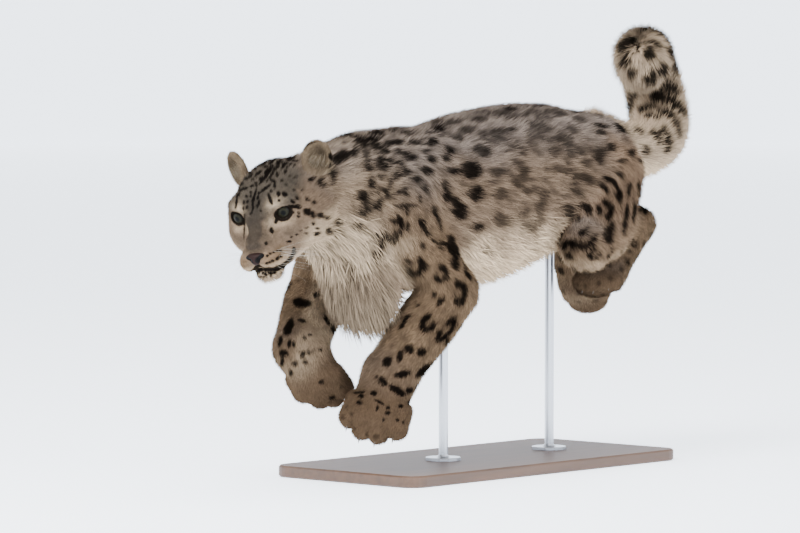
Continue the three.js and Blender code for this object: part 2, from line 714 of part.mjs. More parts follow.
// Ears, each parted from the head at its root.
const EAR_BOX = [30, 42, 32];
const EAR_MESH_BOX = [40, 52, 44];
const headRoom = boxOf(inHead(-25, 0, -8), headAxes, [150, 122, 134]);
const headMesh = surfaceNet(body, headRoom, CELLS.head);
let head = thinned(headMesh, THINNING.head).intersect(half(NAPE));
const earBoxes = [];
for (const [name, side] of [["ear_left", LEFT], ["ear_right", RIGHT]]) {
  const { centre: leaf, axes } = earFrame(side);
  const centre = leaf.clone().addScaledVector(axes[2], Math.sign(axes[2].dot(headUp)) * 15);
  const box = boxOf(centre, axes, EAR_BOX);
  const field = blended([...trunkForms.slice(0, 2), ...headList, ...earForms(side)]);
  const mesh = thinned(surfaceNet(field, boxOf(centre, axes, EAR_MESH_BOX), CELLS.ear), THINNING.ear);
  add(name, mesh.intersect(boxSolid(box)).intersect(half(NAPE)), COAT);
  head = head.subtract(boxSolid(box, GAP));
  earBoxes.push(box);
}

// A closed tube along a curve through points.
function cord(points, radius, steps) {
  const extrudePath = new THREE.CatmullRomCurve3(points);
  const ring = new THREE.Shape().absarc(0, 0, radius, 0, 2 * Math.PI);
  const options = { steps, extrudePath, curveSegments: 3, bevelEnabled: false };
  return solidOf(new THREE.ExtrudeGeometry(ring, options));
}
const onHead = ([fore, left, up], side = RIGHT) => settle(headField, inHead(fore, -side * left, up), 30);

// Eyes, each under a pair of lids that open in an almond.
for (const [name, side] of [["eye_left", LEFT], ["eye_right", RIGHT]]) {
  const centre = inHead(EYE.fore, -side * EYE.left, 0);
  const ball = (radius) => solidOf(new THREE.SphereGeometry(radius, 12, 7).translate(...centre.toArray()));
  const out = headLeft.clone().multiplyScalar(-side);
  const look = headFore.clone().addScaledVector(out, 0.3).normalize();
  const corner = new THREE.Vector3().crossVectors(headUp, look).multiplyScalar(-side);
  corner.addScaledVector(headUp, 0.22);
  const axes = [look, corner.normalize(), new THREE.Vector3().crossVectors(look, corner)];
  const opening = new THREE.SphereGeometry(1, 12, 7).scale(EYE.radius, EYE.open[0], EYE.open[1]);
  const turn = new THREE.Matrix4().makeBasis(...axes);
  if (turn.determinant() < 0) turn.makeBasis(axes[0], axes[1], axes[2].negate());
  opening.applyMatrix4(turn.setPosition(centre.clone().addScaledVector(look, EYE.radius * 1.15)));
  add(name, ball(EYE.radius), EYEBALL);
  head = head.add(ball(EYE.radius + EYE.lid)).subtract(solidOf(opening)).subtract(ball(EYE.radius + GAP));
}

// The nose pad with its nostrils, and the line of the lips.
const noseForms = [
  [lump(inHead(68, 0, -46), [10, 19, 8], headAxes), 1],
  [lump(inHead(71, 0, -54), [9, 9, 10], headAxes), 8],
  [lump(inHead(80, 9, -50), [6, 5, 3.5], headAxes), 2, "hollow"],
  [lump(inHead(80, -9, -50), [6, 5, 3.5], headAxes), 2, "hollow"],
];
const noseBox = boxOf(inHead(70, 0, -50), headAxes, [20, 26, 20]);
const noseField = blended(noseForms);
add("nose", surfaceNet(noseField, noseBox, CELLS.nose).simplify(0.12), SKIN);
head = head.subtract(surfaceNet((p) => noseField(p) - 1.5 * GAP, noseBox, CELLS.nose));
const LIP = [[72, 0, -71], [66, 12, -78], [52, 22, -84], [34, 32, -82], [18, 40, -75], [8, 44, -67]];
const PHILTRUM = [[74, 0, -60], [74, 0, -65], [71, 0, -72]];
const LIP_LINE = { radius: 2.2, steps: 8 };
const PHILTRUM_LINE = { radius: 1.6, steps: 3 };
for (const side of [LEFT, RIGHT]) {
  const line = LIP.map((at) => onHead(at, side));
  head = head.subtract(cord(line, LIP_LINE.radius, LIP_LINE.steps));
}
const middleLine = PHILTRUM.map((at) => onHead(at));
head = head.subtract(cord(middleLine, PHILTRUM_LINE.radius, PHILTRUM_LINE.steps));
add("head", head, COAT);

// The stand.
const outline = new THREE.Shape();
const [hx, hy, r] = [BASE.length / 2 - BASE.bevel, BASE.width / 2 - BASE.bevel, BASE.corner];
outline.moveTo(-hx + r, -hy);
outline.lineTo(hx - r, -hy);
outline.absarc(hx - r, -hy + r, r, -Math.PI / 2, 0);
outline.lineTo(hx, hy - r);
outline.absarc(hx - r, hy - r, r, 0, Math.PI / 2);
outline.lineTo(-hx + r, hy);
outline.absarc(-hx + r, hy - r, r, Math.PI / 2, Math.PI);
outline.lineTo(-hx, -hy + r);
outline.absarc(-hx + r, -hy + r, r, Math.PI, 1.5 * Math.PI);
const slab = new THREE.ExtrudeGeometry(outline, {
  depth: BASE.thickness - 2 * BASE.bevel,
  bevelThickness: BASE.bevel,
  bevelSize: BASE.bevel,
  bevelSegments: 1,
  curveSegments: 3,
});
add("stand_base", solidOf(slab.translate(0, 0, BASE.bevel)), TIMBER);

for (const { name, x, y, top } of RODS) {
  const foot = BASE.thickness + GAP;
  const profile = [
    [0, foot],
    [FLANGE.radius, foot],
    [FLANGE.radius, foot + FLANGE.height - 1],
    [FLANGE.radius - 1, foot + FLANGE.height],
    [ROD_RADIUS + FLANGE.fillet, foot + FLANGE.height],
    [ROD_RADIUS + FLANGE.fillet * 0.3, foot + FLANGE.height + FLANGE.fillet * 0.3],
    [ROD_RADIUS, foot + FLANGE.height + FLANGE.fillet],
    [ROD_RADIUS, top - 1],
    [ROD_RADIUS - 1, top],
    [0, top],
  ].map(([radius, height]) => new THREE.Vector2(radius, height));
  const rod = new THREE.LatheGeometry(profile, 12).rotateX(Math.PI / 2);
  add(name, solidOf(rod.translate(x, y, 0)), STEEL);
}

// Which node of the trunk, head or legs a place lies in.
const inBox = ({ centre, axes, half: reach }, p, margin = 0) => {
  const d = p.clone().sub(centre);
  return axes.every((axis, i) => Math.abs(d.dot(axis)) < reach.getComponent(i) + margin);
};
const isAhead = ([centre, normal], p) => p.clone().sub(centre).dot(normal) > 0;
function nodeAt(p) {
  for (const [name, [boxes]] of Object.entries(legs))
    for (const length of ["paw", "lower", "upper"]) if (inBox(boxes[length], p)) return `${name}_${length}`;
  if (isAhead(NAPE, p)) return "head";
  if (isAhead(THROAT, p)) return "neck";
  if (isAhead(RIBS, p)) return "chest";
  if (isAhead(LOINS, p)) return "belly";
  return isAhead(DOCK, p) ? "rump" : "tail_base";
}

// Random numbers from 0 to 1, the same on every run.
function randomFrom(seed) {
  let state = seed;
  return () => {
    state = (Math.imul(state, 1664525) + 1013904223) >>> 0;
    return state / 2 ** 32;
  };
}

// A flat lock with a keel: its sunk root, its rings along a path and its tip.
// The shares give the width of each ring.
const LOCK_SHARES = [0.7, 1, 0.84];
function lockSolid({ path, out, width, thick }, grow = 0) {
  const positions = [];
  const index = [];
  LOCK_SHARES.forEach((share, r) => {
    const axis = path[r + 1].clone().sub(path[Math.max(r - 1, 0)]).normalize();
    const centre = path[r].clone().addScaledVector(axis, r ? 0 : -2 * grow);
    const side = new THREE.Vector3().crossVectors(out[r], axis).normalize();
    const rise = new THREE.Vector3().crossVectors(axis, side);
    const halfWidth = (share * width) / 2 + 1.5 * grow;
    const keel = thick * (0.5 + 0.5 * share);
    const [under, over] = [-0.35 * keel - grow, 0.65 * keel + grow];
    for (const [a, b] of [[-halfWidth, under], [halfWidth, under], [0, over]])
      positions.push(...centre.clone().addScaledVector(side, a).addScaledVector(rise, b).toArray());
  });
  const rings = LOCK_SHARES.length;
  const last = path[rings].clone().sub(path[rings - 1]).normalize();
  positions.push(...path[rings].clone().addScaledVector(last, 2 * grow).toArray());
  index.push(0, 2, 1);
  for (let r = 0; r < rings; r++)
    for (let n = 0; n < 3; n++) {
      const [a, b] = [3 * r + n, 3 * r + ((n + 1) % 3)];
      if (r === rings - 1) index.push(a, b, 3 * rings);
      else index.push(a, b, b + 3, a, b + 3, a + 3);
    }
  const geometry = new THREE.BufferGeometry();
  geometry.setAttribute("position", new THREE.Float32BufferAttribute(positions, 3));
  return solidOf(geometry.setIndex(index));
}

// The path of a lock over a field: its root sunk, then rings that rise through the given lifts.
const LOCK_PLACES = [0, 0.2, 0.6, 1];
function lockPath(field, root, lie, length, sink, lifts) {
  const path = [];
  const out = [];
  let q = root;
  LOCK_PLACES.forEach((place, r) => {
    if (r) q = q.clone().addScaledVector(lie, (place - LOCK_PLACES[r - 1]) * length);
    q = settle((p) => field(p) - lifts[r], q, 200);
    const normal = slopeOf(field, q).normalize();
    out.push(normal);
    path.push(r ? q : q.clone().addScaledVector(normal, -sink));
  });
  return { path, out };
}

// Regions of long fur: where roots may start, which way the surface faces there, how the locks lie.
const within = (low, high, random) => point(...low.map((v, i) => v + random() * (high[i] - v)));
const onHeadBox = (side) => (random) => {
  const [fore, left, up] = within([-108, 40, -92], [-50, 92, 4], random).toArray();
  return inHead(fore, -side * left, up);
};
const REGIONS = [
  {
    start: (random) => within([-470, -105, 285], [-370, 75, 500], random),
    faces: (n) => -n.x - 0.5 * n.z > 0.35,
    on: /neck|chest/,
    lie: () => point(0.2, 0, -1),
    count: 32,
    spacing: 34,
    length: 96,
    width: 38,
    thick: 11,
    lifts: [0, 4, 17, 32],
  },
  ...[LEFT, RIGHT].map((side) => ({
    start: onHeadBox(side),
    faces: (n) => n.dot(headFore) < 0.15 && n.dot(headLeft) * -side > 0,
    lie: () => headFore.clone().multiplyScalar(-0.85).addScaledVector(headUp, -0.6),
    on: /head/,
    count: 11,
    spacing: 25,
    length: 56,
    width: 27,
    thick: 8,
    lifts: [0, 3, 10, 16],
  })),
  {
    start: (random) => within([-150, -130, 330], [340, 130, 450], random),
    faces: (n) => n.z < -0.45,
    on: /chest|belly|rump/,
    lie: (p) => point(0.75, 0.002 * p.y, -0.4),
    count: 28,
    spacing: 52,
    length: 78,
    width: 40,
    thick: 11,
    lifts: [0, 4, 13, 24],
  },
  {
    start: (random) => within([325, -135, 420], [430, 135, 585], random),
    faces: (n) => n.x > 0.45,
    on: /upper|rump/,
    lie: () => point(0.15, 0, -1),
    count: 14,
    spacing: 36,
    length: 62,
    width: 32,
    thick: 9,
    lifts: [0, 2, 7, 12],
  },
  ...[foreLeft, foreRight].map(({ elbow }) => ({
    start: (random) => elbow.clone().add(within([0, -50, -30], [70, 50, 60], random)),
    faces: (n) => n.x > 0.35,
    on: /foreleg_.*(upper|lower)|chest/,
    lie: () => point(0.35, 0, -1),
    count: 5,
    spacing: 28,
    length: 50,
    width: 28,
    thick: 8,
    lifts: [0, 3, 9, 14],
  })),
];

// How deep a root is sunk, and how far the locks stay from the rods and the ears.
const SINK = 16;
const ROD_ROOM = 36;
const EAR_ROOM = 15;
const SEED = { first: 47, next: 977, tail: 11 };
const locks = [];

// Keeps a lock unless it comes close to one of another node.
function plant(lock) {
  const gapTo = (other) => Math.min(...other.path.flatMap((p) => lock.path.map((q) => p.distanceTo(q))));
  const apart = (other) => gapTo(other) > (other.width + lock.width) / 2.2;
  const clear = locks.every((other) => other.node === lock.node || apart(other));
  if (clear) locks.push(lock);
  return clear;
}
REGIONS.forEach(({ start, faces, on, lie, count, spacing, length, width, thick, lifts }, number) => {
  const random = randomFrom(number * SEED.next + SEED.first);
  const taken = [];
  for (let tries = 0; tries < 60 * count && taken.length < count; tries++) {
    const root = settle(body, start(random), 220);
    if (Math.abs(body(root)) > 1 || !faces(slopeOf(body, root).normalize())) continue;
    if (taken.some((other) => other.distanceTo(root) < spacing)) continue;
    const vary = 0.85 + 0.3 * random();
    const way = lie(root).normalize();
    way.addScaledVector(point(random() - 0.5, random() - 0.5, random() - 0.5), 0.3).normalize();
    const { path, out } = lockPath(body, root, way, length * vary, SINK, lifts.map((lift) => lift * vary));
    const node = nodeAt(path[0]);
    const side = new THREE.Vector3().crossVectors(out[0], way).normalize();
    const edges = [-0.6 * width, 0.6 * width].flatMap((aside) =>
      [path[0], path[1]].map((p) => p.clone().addScaledVector(side, aside)),
    );
    if (!on.test(node) || edges.some((p) => nodeAt(p) !== node)) continue;
    if (path.some((p) => earBoxes.some((box) => inBox(box, p, EAR_ROOM)))) continue;
    if (path.some((p) => RODS.some(({ x, y }) => Math.hypot(p.x - x, p.y - y) < ROD_ROOM))) continue;
    if (plant({ node, path, out, width: width * vary, thick })) taken.push(root);
  }
});

// The brush of the tail: rows of locks around its core that lie towards the tip.
const TAIL_ROW = 56;
const TAIL_LOCK = { around: 5, length: 94, width: 50, thick: 12, lifts: [0, 4, 12, 17] };
// Places along the tail: a row's least distance from the ends of its length, the last place of the core
// that locks follow, and the last place that sets how far they stand out.
const TAIL_EDGE = { start: 0.028, end: 0.03, tip: 0.05 };
const TAIL_LAST = { centre: 0.985, radius: 0.94 };
const TIP_SLOPE = 0.55;
const tailRandom = randomFrom(SEED.tail);
const tailRun = tailAt(0).distanceTo(tailAt(1 / 22)) * 22;
for (const [name, [from, to]] of Object.entries(TAIL_LENGTHS)) {
  const reach = to - (name === "tail_tip" ? TAIL_EDGE.tip : TAIL_EDGE.end);
  const rows = Math.max(2, Math.round(((reach - from) * tailRun) / TAIL_ROW));
  for (let row = 0; row < rows; row++)
    for (let n = 0; n < TAIL_LOCK.around; n++) {
      const vary = 0.88 + 0.24 * tailRandom();
      const turn = (2 * Math.PI * (n + (row % 2) / 2 + 0.3 * (tailRandom() - 0.5))) / TAIL_LOCK.around;
      const first = from + TAIL_EDGE.start;
      const t0 = first + ((reach - first) * row) / (rows - 0.4);
      const path = [];
      const out = [];
      LOCK_PLACES.forEach((place, r) => {
        const t = t0 + (place * TAIL_LOCK.length * vary) / tailRun;
        const over = Math.max(0, t - TAIL_LAST.centre) * tailRun;
        const held = Math.min(t, TAIL_LAST.centre);
        const axis = tailAxis(held);
        const [front, aside] = across(axis, point(0, 1, 0));
        const radial = front.multiplyScalar(Math.cos(turn)).addScaledVector(aside, Math.sin(turn));
        const core = TAIL_RADIUS(Math.min(t, TAIL_LAST.radius)) - (r ? 0 : SINK);
        const level = core + TAIL_LOCK.lifts[r] * vary - TIP_SLOPE * over;
        out.push(radial);
        path.push(tailAt(held).addScaledVector(axis, over).addScaledVector(radial, level));
      });
      locks.push({ node: name, path, out, width: TAIL_LOCK.width * vary, thick: TAIL_LOCK.thick });
    }
}

// Claws: each leaves the upper side of its toe and hooks down towards the sole.
const CLAW = { width: 6, thick: 8, out: 13, hook: 7 };
for (const [name, foot] of Object.entries(feet)) {
  const axis = foot.to.clone().sub(foot.from).normalize();
  const [ahead] = across(axis, foot.dorsal);
  for (const place of TOES) {
    const root = toeTip(foot, place).addScaledVector(ahead, 0.1 * foot.toeRadius);
    const path = [0.3, 0.95].map((share) => root.clone().addScaledVector(axis, share * foot.toeRadius));
    for (const share of [0.5, 1]) {
      const on = path[1].clone().addScaledVector(axis, share * CLAW.out);
      path.push(on.addScaledVector(ahead, -share * share * CLAW.hook));
    }
    const out = path.map(() => ahead);
    locks.push({ node: `${name}_paw`, path, out, width: CLAW.width, thick: CLAW.thick });
  }
}

// Joins each node's locks to it, clear of the nodes that they lie over.
const lockSets = new Map();
for (const lock of locks) {
  if (!lockSets.has(lock.node)) lockSets.set(lock.node, []);
  lockSets.get(lock.node).push(lock);
}
const touches = (a, b) => [0, 1, 2].every((i) => a.min[i] < b.max[i] && b.min[i] < a.max[i]);
for (const [node, set] of lockSets) {
  const entry = nodes.get(node);
  entry.solid = largest(wasm.Manifold.union([entry.solid, ...set.map((lock) => lockSolid(lock))]));
}
for (const [node, set] of lockSets) {
  const grown = set.map((lock) => lockSolid(lock, 1.7 * GAP));
  for (const [name, entry] of nodes) {
    if (name === node) continue;
    for (const lock of grown) {
      if (!touches(lock.boundingBox(), entry.solid.boundingBox())) continue;
      if (lock.intersect(entry.solid).volume() > 1e-6) entry.solid = entry.solid.subtract(lock);
    }
    entry.solid = largest(entry.solid);
  }
}

// Slivers left by the unions and cuts are merged, by less than half the gap.
const SLIVER = 0.07;
const model = new THREE.Group();
for (const [name, { solid, look }] of nodes) {
  const { color, roughness, metalness = 0 } = look;
  const material = new THREE.MeshStandardMaterial({ color, roughness, metalness });
  const mesh = new THREE.Mesh(geometryOf(solid.simplify(SLIVER)), material);
  mesh.name = name;
  model.add(mesh);
}

export default model;
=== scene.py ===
"""A snow leopard in mid-leap on its display stand: camera, skin, coat, face and materials.

The cat's forms are in millimetres, and the camera, the lights and the scene in metres; +Z is up.
"""

import math

import bpy
import numpy as np
from mathutils import Matrix, Vector


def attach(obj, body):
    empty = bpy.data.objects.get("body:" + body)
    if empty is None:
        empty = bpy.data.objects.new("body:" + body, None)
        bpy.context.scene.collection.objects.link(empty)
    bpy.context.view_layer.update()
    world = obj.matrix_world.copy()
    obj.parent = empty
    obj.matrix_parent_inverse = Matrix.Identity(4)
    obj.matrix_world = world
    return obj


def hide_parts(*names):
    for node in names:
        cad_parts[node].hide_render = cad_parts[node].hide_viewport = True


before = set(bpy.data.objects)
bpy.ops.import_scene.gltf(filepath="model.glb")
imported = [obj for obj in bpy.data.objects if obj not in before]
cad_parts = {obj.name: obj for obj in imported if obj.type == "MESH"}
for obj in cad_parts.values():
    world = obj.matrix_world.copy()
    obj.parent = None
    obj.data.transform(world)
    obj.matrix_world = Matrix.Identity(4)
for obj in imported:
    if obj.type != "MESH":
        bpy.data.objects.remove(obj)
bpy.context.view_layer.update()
RNG = np.random.default_rng(4127)

# The camera
# The photographed view: azimuth, elevation, distance and aim point, all measured from the picture.
PHOTO = (800, 533)
AZIMUTH, ELEVATION, DISTANCE = -48.0, 3.0, 9.0
AIM = Vector((-0.102, 0.113, 0.385))
PIXELS_PER_METRE = 525.0
SENSOR_WIDTH = 36.0


def set_camera():
    a, e = math.radians(AZIMUTH), math.radians(ELEVATION)
    toward = Vector((-math.sin(a) * math.cos(e), math.cos(a) * math.cos(e), -math.sin(e)))
    data = bpy.data.cameras.new("camera")
    camera = bpy.data.objects.new("camera", data)
    bpy.context.scene.collection.objects.link(camera)
    camera.location = AIM - toward * DISTANCE
    camera.rotation_euler = toward.to_track_quat("-Z", "Y").to_euler()
    data.sensor_width = SENSOR_WIDTH
    data.lens = SENSOR_WIDTH * PIXELS_PER_METRE * DISTANCE / PHOTO[0]
    data.clip_end = 60.0
    bpy.context.scene.camera = camera
    return camera, toward


CAMERA, TOWARD = set_camera()

# Forms of the body, in millimetres
X, Y, Z = np.eye(3)
LEFT, RIGHT = -1, 1
UP = Z
FORWARD = -X


def vec(*values):
    return np.array(values, float)


def unit(v):
    return v / np.maximum(np.linalg.norm(v, axis=-1, keepdims=True), 1e-9)


def heading(turn, rise):
    """The direction turned from the cat's own forward to its left, and risen, in degrees."""
    t, r = math.radians(turn), math.radians(rise)
    return vec(-math.cos(t) * math.cos(r), -math.sin(t) * math.cos(r), math.sin(r))


def spline(values, t):
    """Smooth interpolation through equally spaced values, numbers or points, at t from 0 to 1."""
    values = np.asarray(values, float)
    t = np.clip(np.asarray(t, float), 0, 1) * (len(values) - 1)
    i = np.minimum(t.astype(int), len(values) - 2)
    u = t - i
    a, b, c, d = (values[np.clip(i + n, 0, len(values) - 1)] for n in (-1, 0, 1, 2))
    if values.ndim > 1:
        u = u[..., None]
    return 0.5 * (2 * b + (c - a) * u + (2 * a - 5 * b + 4 * c - d) * u**2 + (3 * b - a - 3 * c + d) * u**3)


def across(axis, hint):
    """The hint made square to an axis, and the direction square to both."""
    front = unit(hint - axis * np.sum(hint * axis, axis=-1, keepdims=True))
    return front, np.cross(axis, front)


def beyond(a, b, c, ra, rb, rc):
    """About how far a place stands outside an ellipsoid."""
    share = np.sqrt((a / ra) ** 2 + (b / rb) ** 2 + (c / rc) ** 2)
    far = np.sqrt(a**2 + b**2 + c**2)
    deepest = -np.minimum(np.minimum(ra, rb), rc)
    return np.where(share < 1e-6, deepest, far * (1 - 1 / np.maximum(share, 1e-6)))


def band(value, low, high):
    """0 below low, 1 above high, smooth between."""
    t = np.clip((value - low) / (high - low), 0, 1)
    return t * t * (3 - 2 * t)


def smooth_min(a, b, k):
    h = np.maximum(k - np.abs(a - b), 0) / k
    return np.minimum(a, b) - h * h * k / 4


class Lump:
    """An ellipsoid along three axes."""

    def __init__(self, centre, radii, axes):
        self.centre, self.radii, self.axes = centre, radii, axes
        self.reach = max(radii)

    def field(self, p):
        d = p - self.centre
        return beyond(d @ self.axes[0], d @ self.axes[1], d @ self.axes[2], *self.radii)


class Limb:
    """A straight length with radii towards its front, back and side at equally spaced sections."""

    def __init__(self, start, end, hint, front, back, side):
        self.start = start
        self.length = float(np.linalg.norm(end - start))
        self.axis = (end - start) / self.length
        self.ahead, self.aside = across(self.axis, hint)
        self.front, self.back, self.side = front, back, side
        self.centre = (start + end) / 2
        self.reach = self.length / 2 + max(*front, *back, *side)

    def field(self, p):
        d = p - self.start
        along = d @ self.axis
        t = np.clip(along / self.length, 0, 1)
        b = d @ self.ahead
        rb = np.where(b > 0, spline(self.front, t), spline(self.back, t))
        ra = spline(self.side, t)
        return beyond(d @ self.aside, b, along - t * self.length, ra, rb, np.minimum(ra, rb))


class Trunk:
    """A curved length whose centreline bends through its points."""

    STEPS = 36

    def __init__(self, path, hint, front, back, side):
        self.at = spline(np.array(path), np.linspace(0, 1, self.STEPS + 1))
        self.hint, self.front, self.back, self.side = hint, front, back, side
        self.centre = spline(np.array(path), 0.5)
        self.reach = float(np.linalg.norm(self.at - self.centre, axis=1).max()) + max(*front, *back, *side)

    def nearest(self, p):
        """For each place: its share of the way along, its offset from the centreline, and the way there."""
        gaps = np.sum(self.at**2, axis=1) - 2 * p @ self.at.T
        i0 = np.clip(np.argmin(gaps, axis=1), 1, self.STEPS - 1)
        best = np.full(len(p), np.inf)
        place = np.zeros(len(p))
        off = np.zeros_like(p)
        for i in (i0 - 1, i0):
            run = self.at[i + 1] - self.at[i]
            d = p - self.at[i]
            u = np.clip(np.sum(d * run, axis=1) / np.sum(run * run, axis=1), 0, 1)
            away = d - u[:, None] * run
            gap = np.sum(away**2, axis=1)
            closer = gap < best
            best[closer] = gap[closer]
            place[closer] = (i + u)[closer]
            off[closer] = away[closer]
        i = np.minimum(place.astype(int), self.STEPS - 1)
        return place / self.STEPS, off, unit(self.at[i + 1] - self.at[i])

    def field(self, p):
        t, off, axis = self.nearest(p)
        ahead, aside = across(axis, self.hint)
        a, b, c = (np.sum(off * way, axis=1) for way in (aside, ahead, axis))
        rb = np.where(b > 0, spline(self.front, t), spline(self.back, t))
        ra = spline(self.side, t)
        return beyond(a, b, c, ra, rb, np.minimum(ra, rb))


# Lengths of the bones.
HUMERUS, FOREARM, FORE_FOOT = 184, 196, 138
THIGH, SHANK, HIND_FOOT, HIND_TOES = 210, 219, 150, 62


def fore_leg(shoulder, arm, forearm, foot):
    elbow = shoulder + HUMERUS * heading(*arm)
    wrist = elbow + FOREARM * heading(*forearm)
    toes = wrist + FORE_FOOT * heading(*foot)
    return {"shoulder": shoulder, "elbow": elbow, "wrist": wrist, "toes": toes}


def hind_leg(hip, thigh, shank, foot, toe):
    knee = hip + THIGH * heading(*thigh)
    hock = knee + SHANK * heading(*shank)
    ball = hock + HIND_FOOT * heading(*foot)
    return {"hip": hip, "knee": knee, "hock": hock, "ball": ball, "toes": ball + HIND_TOES * heading(*toe)}


FORE = {
    LEFT: fore_leg(vec(-336, -96, 490), (171, -49), (-19, -50), (3, -59)),
    RIGHT: fore_leg(vec(-356, 92, 520), (217, -58), (28, -36), (172, -58)),
}
HIND = {
    LEFT: hind_leg(vec(280, -60, 569), (30, -44), (191, 9), (6, -38), (4, -24)),
    RIGHT: hind_leg(vec(280, 60, 569), (-40, -42), (171, 8), (178, -62), (176, -50)),
}

EYES = vec(-648, -45, 506)
HEAD_TURN, HEAD_DROP, HEAD_ROLL, HEAD_SCALE = 22, -20, 8.5, 1.08
HEAD_FORE = heading(HEAD_TURN, HEAD_DROP)


def rolled_left():
    """The head's own left, rolled about the way it faces."""
    level = unit(np.cross(UP, HEAD_FORE))
    roll = math.radians(HEAD_ROLL)
    return level * math.cos(roll) + np.cross(HEAD_FORE, level) * math.sin(roll)


HEAD_LEFT = rolled_left()
HEAD_UP = np.cross(HEAD_FORE, HEAD_LEFT)
HEAD_AXES = (HEAD_FORE, HEAD_LEFT, HEAD_UP)


def in_head(fore, left, up):
    return EYES + HEAD_SCALE * (fore * HEAD_FORE + left * HEAD_LEFT + up * HEAD_UP)


def head_place(p):
    """Places in the head's own frame: fore, left, up."""
    d = (p - EYES) / HEAD_SCALE
    return np.stack([d @ HEAD_FORE, d @ HEAD_LEFT, d @ HEAD_UP], axis=-1)


# Each [fore, left, up], radii, blend, depth of the coat over it. Those off the middle are on both sides.
HEAD_FORMS = [
    ((-62, 0, 4), (72, 62, 56), 20, 3),
    ((-24, 0, 14), (46, 48, 34), 24, 2.5),
    ((12, 0, -6), (32, 24, 24), 20, 2),
    ((42, 0, -28), (32, 18, 17), 14, 1.5),
    ((38, 0, -53), (34, 32, 24), 16, 1.5),
    ((50, 17, -60), (25, 20, 19), 8, 1.5),
    ((31, 0, -88), (24, 23, 17), 12, 1.5),
    ((-8, 22, -69), (52, 24, 24), 16, 3),
    ((-42, 46, -36), (48, 38, 46), 24, 4),
    ((-10, 40, -27), (27, 24, 20), 20, 2.5),
    ((-10, 36, 20), (22, 24, 13), 16, 2),
    ((-16, 43, -2), (20, 24, 22), 14, 2),
    ((-72, 62, -44), (34, 26, 40), 24, 6),
    ((8, 14, -42), (32, 21, 26), 14, 3),
    ((-46, 0, -46), (44, 44, 32), 20, 7),
]
# How softly the first of them blends into the neck.
NECK_BLEND = 40


def head_forms():
    forms = []
    for i, ((fore, left, up), radii, blend, depth) in enumerate(HEAD_FORMS):
        for side in (LEFT, RIGHT) if left else (0,):
            lump = Lump(in_head(fore, -side * left, up), [r * HEAD_SCALE for r in radii], HEAD_AXES)
            forms.append((lump, blend if i else NECK_BLEND, depth, "head"))
    return forms


EAR_FORE, EAR_LEFT, EAR_UP, EAR_TURN = -110, 73, 46, math.radians(38)
EAR_RADII = (13, 31, 37)


def ear_frame(side):
    facing = HEAD_FORE * math.cos(EAR_TURN) - side * HEAD_LEFT * math.sin(EAR_TURN)
    centre = in_head(EAR_FORE, -side * EAR_LEFT, EAR_UP)
    rise = unit(HEAD_UP - side * 0.25 * HEAD_LEFT)
    width = unit(np.cross(rise, facing))
    return centre, (facing, width, np.cross(facing, width))


def ear_forms(side):
    centre, axes = ear_frame(side)
    cup = centre + 12 * axes[0] + 2 * HEAD_UP
    return [
        (Lump(centre, [r - 1 for r in EAR_RADII], axes), 10, 2, "ear"),
        (Lump(cup, (13, 22, 28), axes), 3, 0, "hollow"),
    ]


TORSO_X = (-330, 335)
BACK = np.array([640, 648, 662, 682, 694, 698, 685, 638], float)
BELLY = np.array([384, 364, 358, 364, 387, 416, 448, 518], float)
FLANK = [104, 126, 134, 137, 138, 134, 122, 90]
TORSO_PATH = [vec(x, 0, (b + c) / 2) for x, b, c in zip(np.linspace(*TORSO_X, 8), BACK, BELLY)]
TORSO_DEPTH = list((BACK - BELLY) / 2)
NECK_PATH = [vec(-250, 0, 520), vec(-350, -6, 524), vec(-440, -28, 536), in_head(-100, 0, -8)]
TAIL_PATH = [
    vec(335, -1, 622), vec(399, 10, 607), vec(462, 26, 597), vec(525, 45, 594), vec(587, 68, 601),
    vec(645, 95, 615), vec(699, 128, 634), vec(743, 164, 667), vec(745, 182, 726), vec(709, 171, 775),
    vec(657, 137, 785), vec(607, 98, 767),
]
TAIL_CORE = [46, 43, 43, 47, 50, 46, 42]

# A paw's half width, thickness and radius of its toes, and the way its top faces.
FORE_PAW, HIND_PAW = (66, 42, 25), (56, 31, 20)
FORE_TOP = {LEFT: heading(25, 0), RIGHT: heading(0, 30)}
HIND_TOP = {LEFT: UP, RIGHT: FORWARD}
TOE_PLACES = (-1.5, -0.5, 0.5, 1.5)
TOE_SPREAD, OUTER_TOE_SHORTER = 0.46, 16


def toe_setback(place):
    return OUTER_TOE_SHORTER if abs(place) > 1 else 0


def foot_forms(start, end, dorsal, half_width, thickness, toe):
    length = float(np.linalg.norm(end - start))
    axis = (end - start) / length
    ahead, aside = across(axis, dorsal)
    pad = start + axis * length * 0.58
    sides = [half_width * 0.74, half_width * 0.86]
    forms = [(Limb(start, pad, dorsal, [thickness] * 2, [thickness] * 2, sides), 18, 3, "paw")]
    for place in TOE_PLACES:
        root = pad + aside * place * half_width * 0.42 - axis * 14
        tip = start + axis * (length - toe - toe_setback(place))
        tip = tip + aside * place * half_width * TOE_SPREAD - ahead * 4
        forms.append((Limb(root, tip, dorsal, [toe, toe], [toe, toe], [toe, toe * 0.94]), 4, 3, "paw"))
    return forms


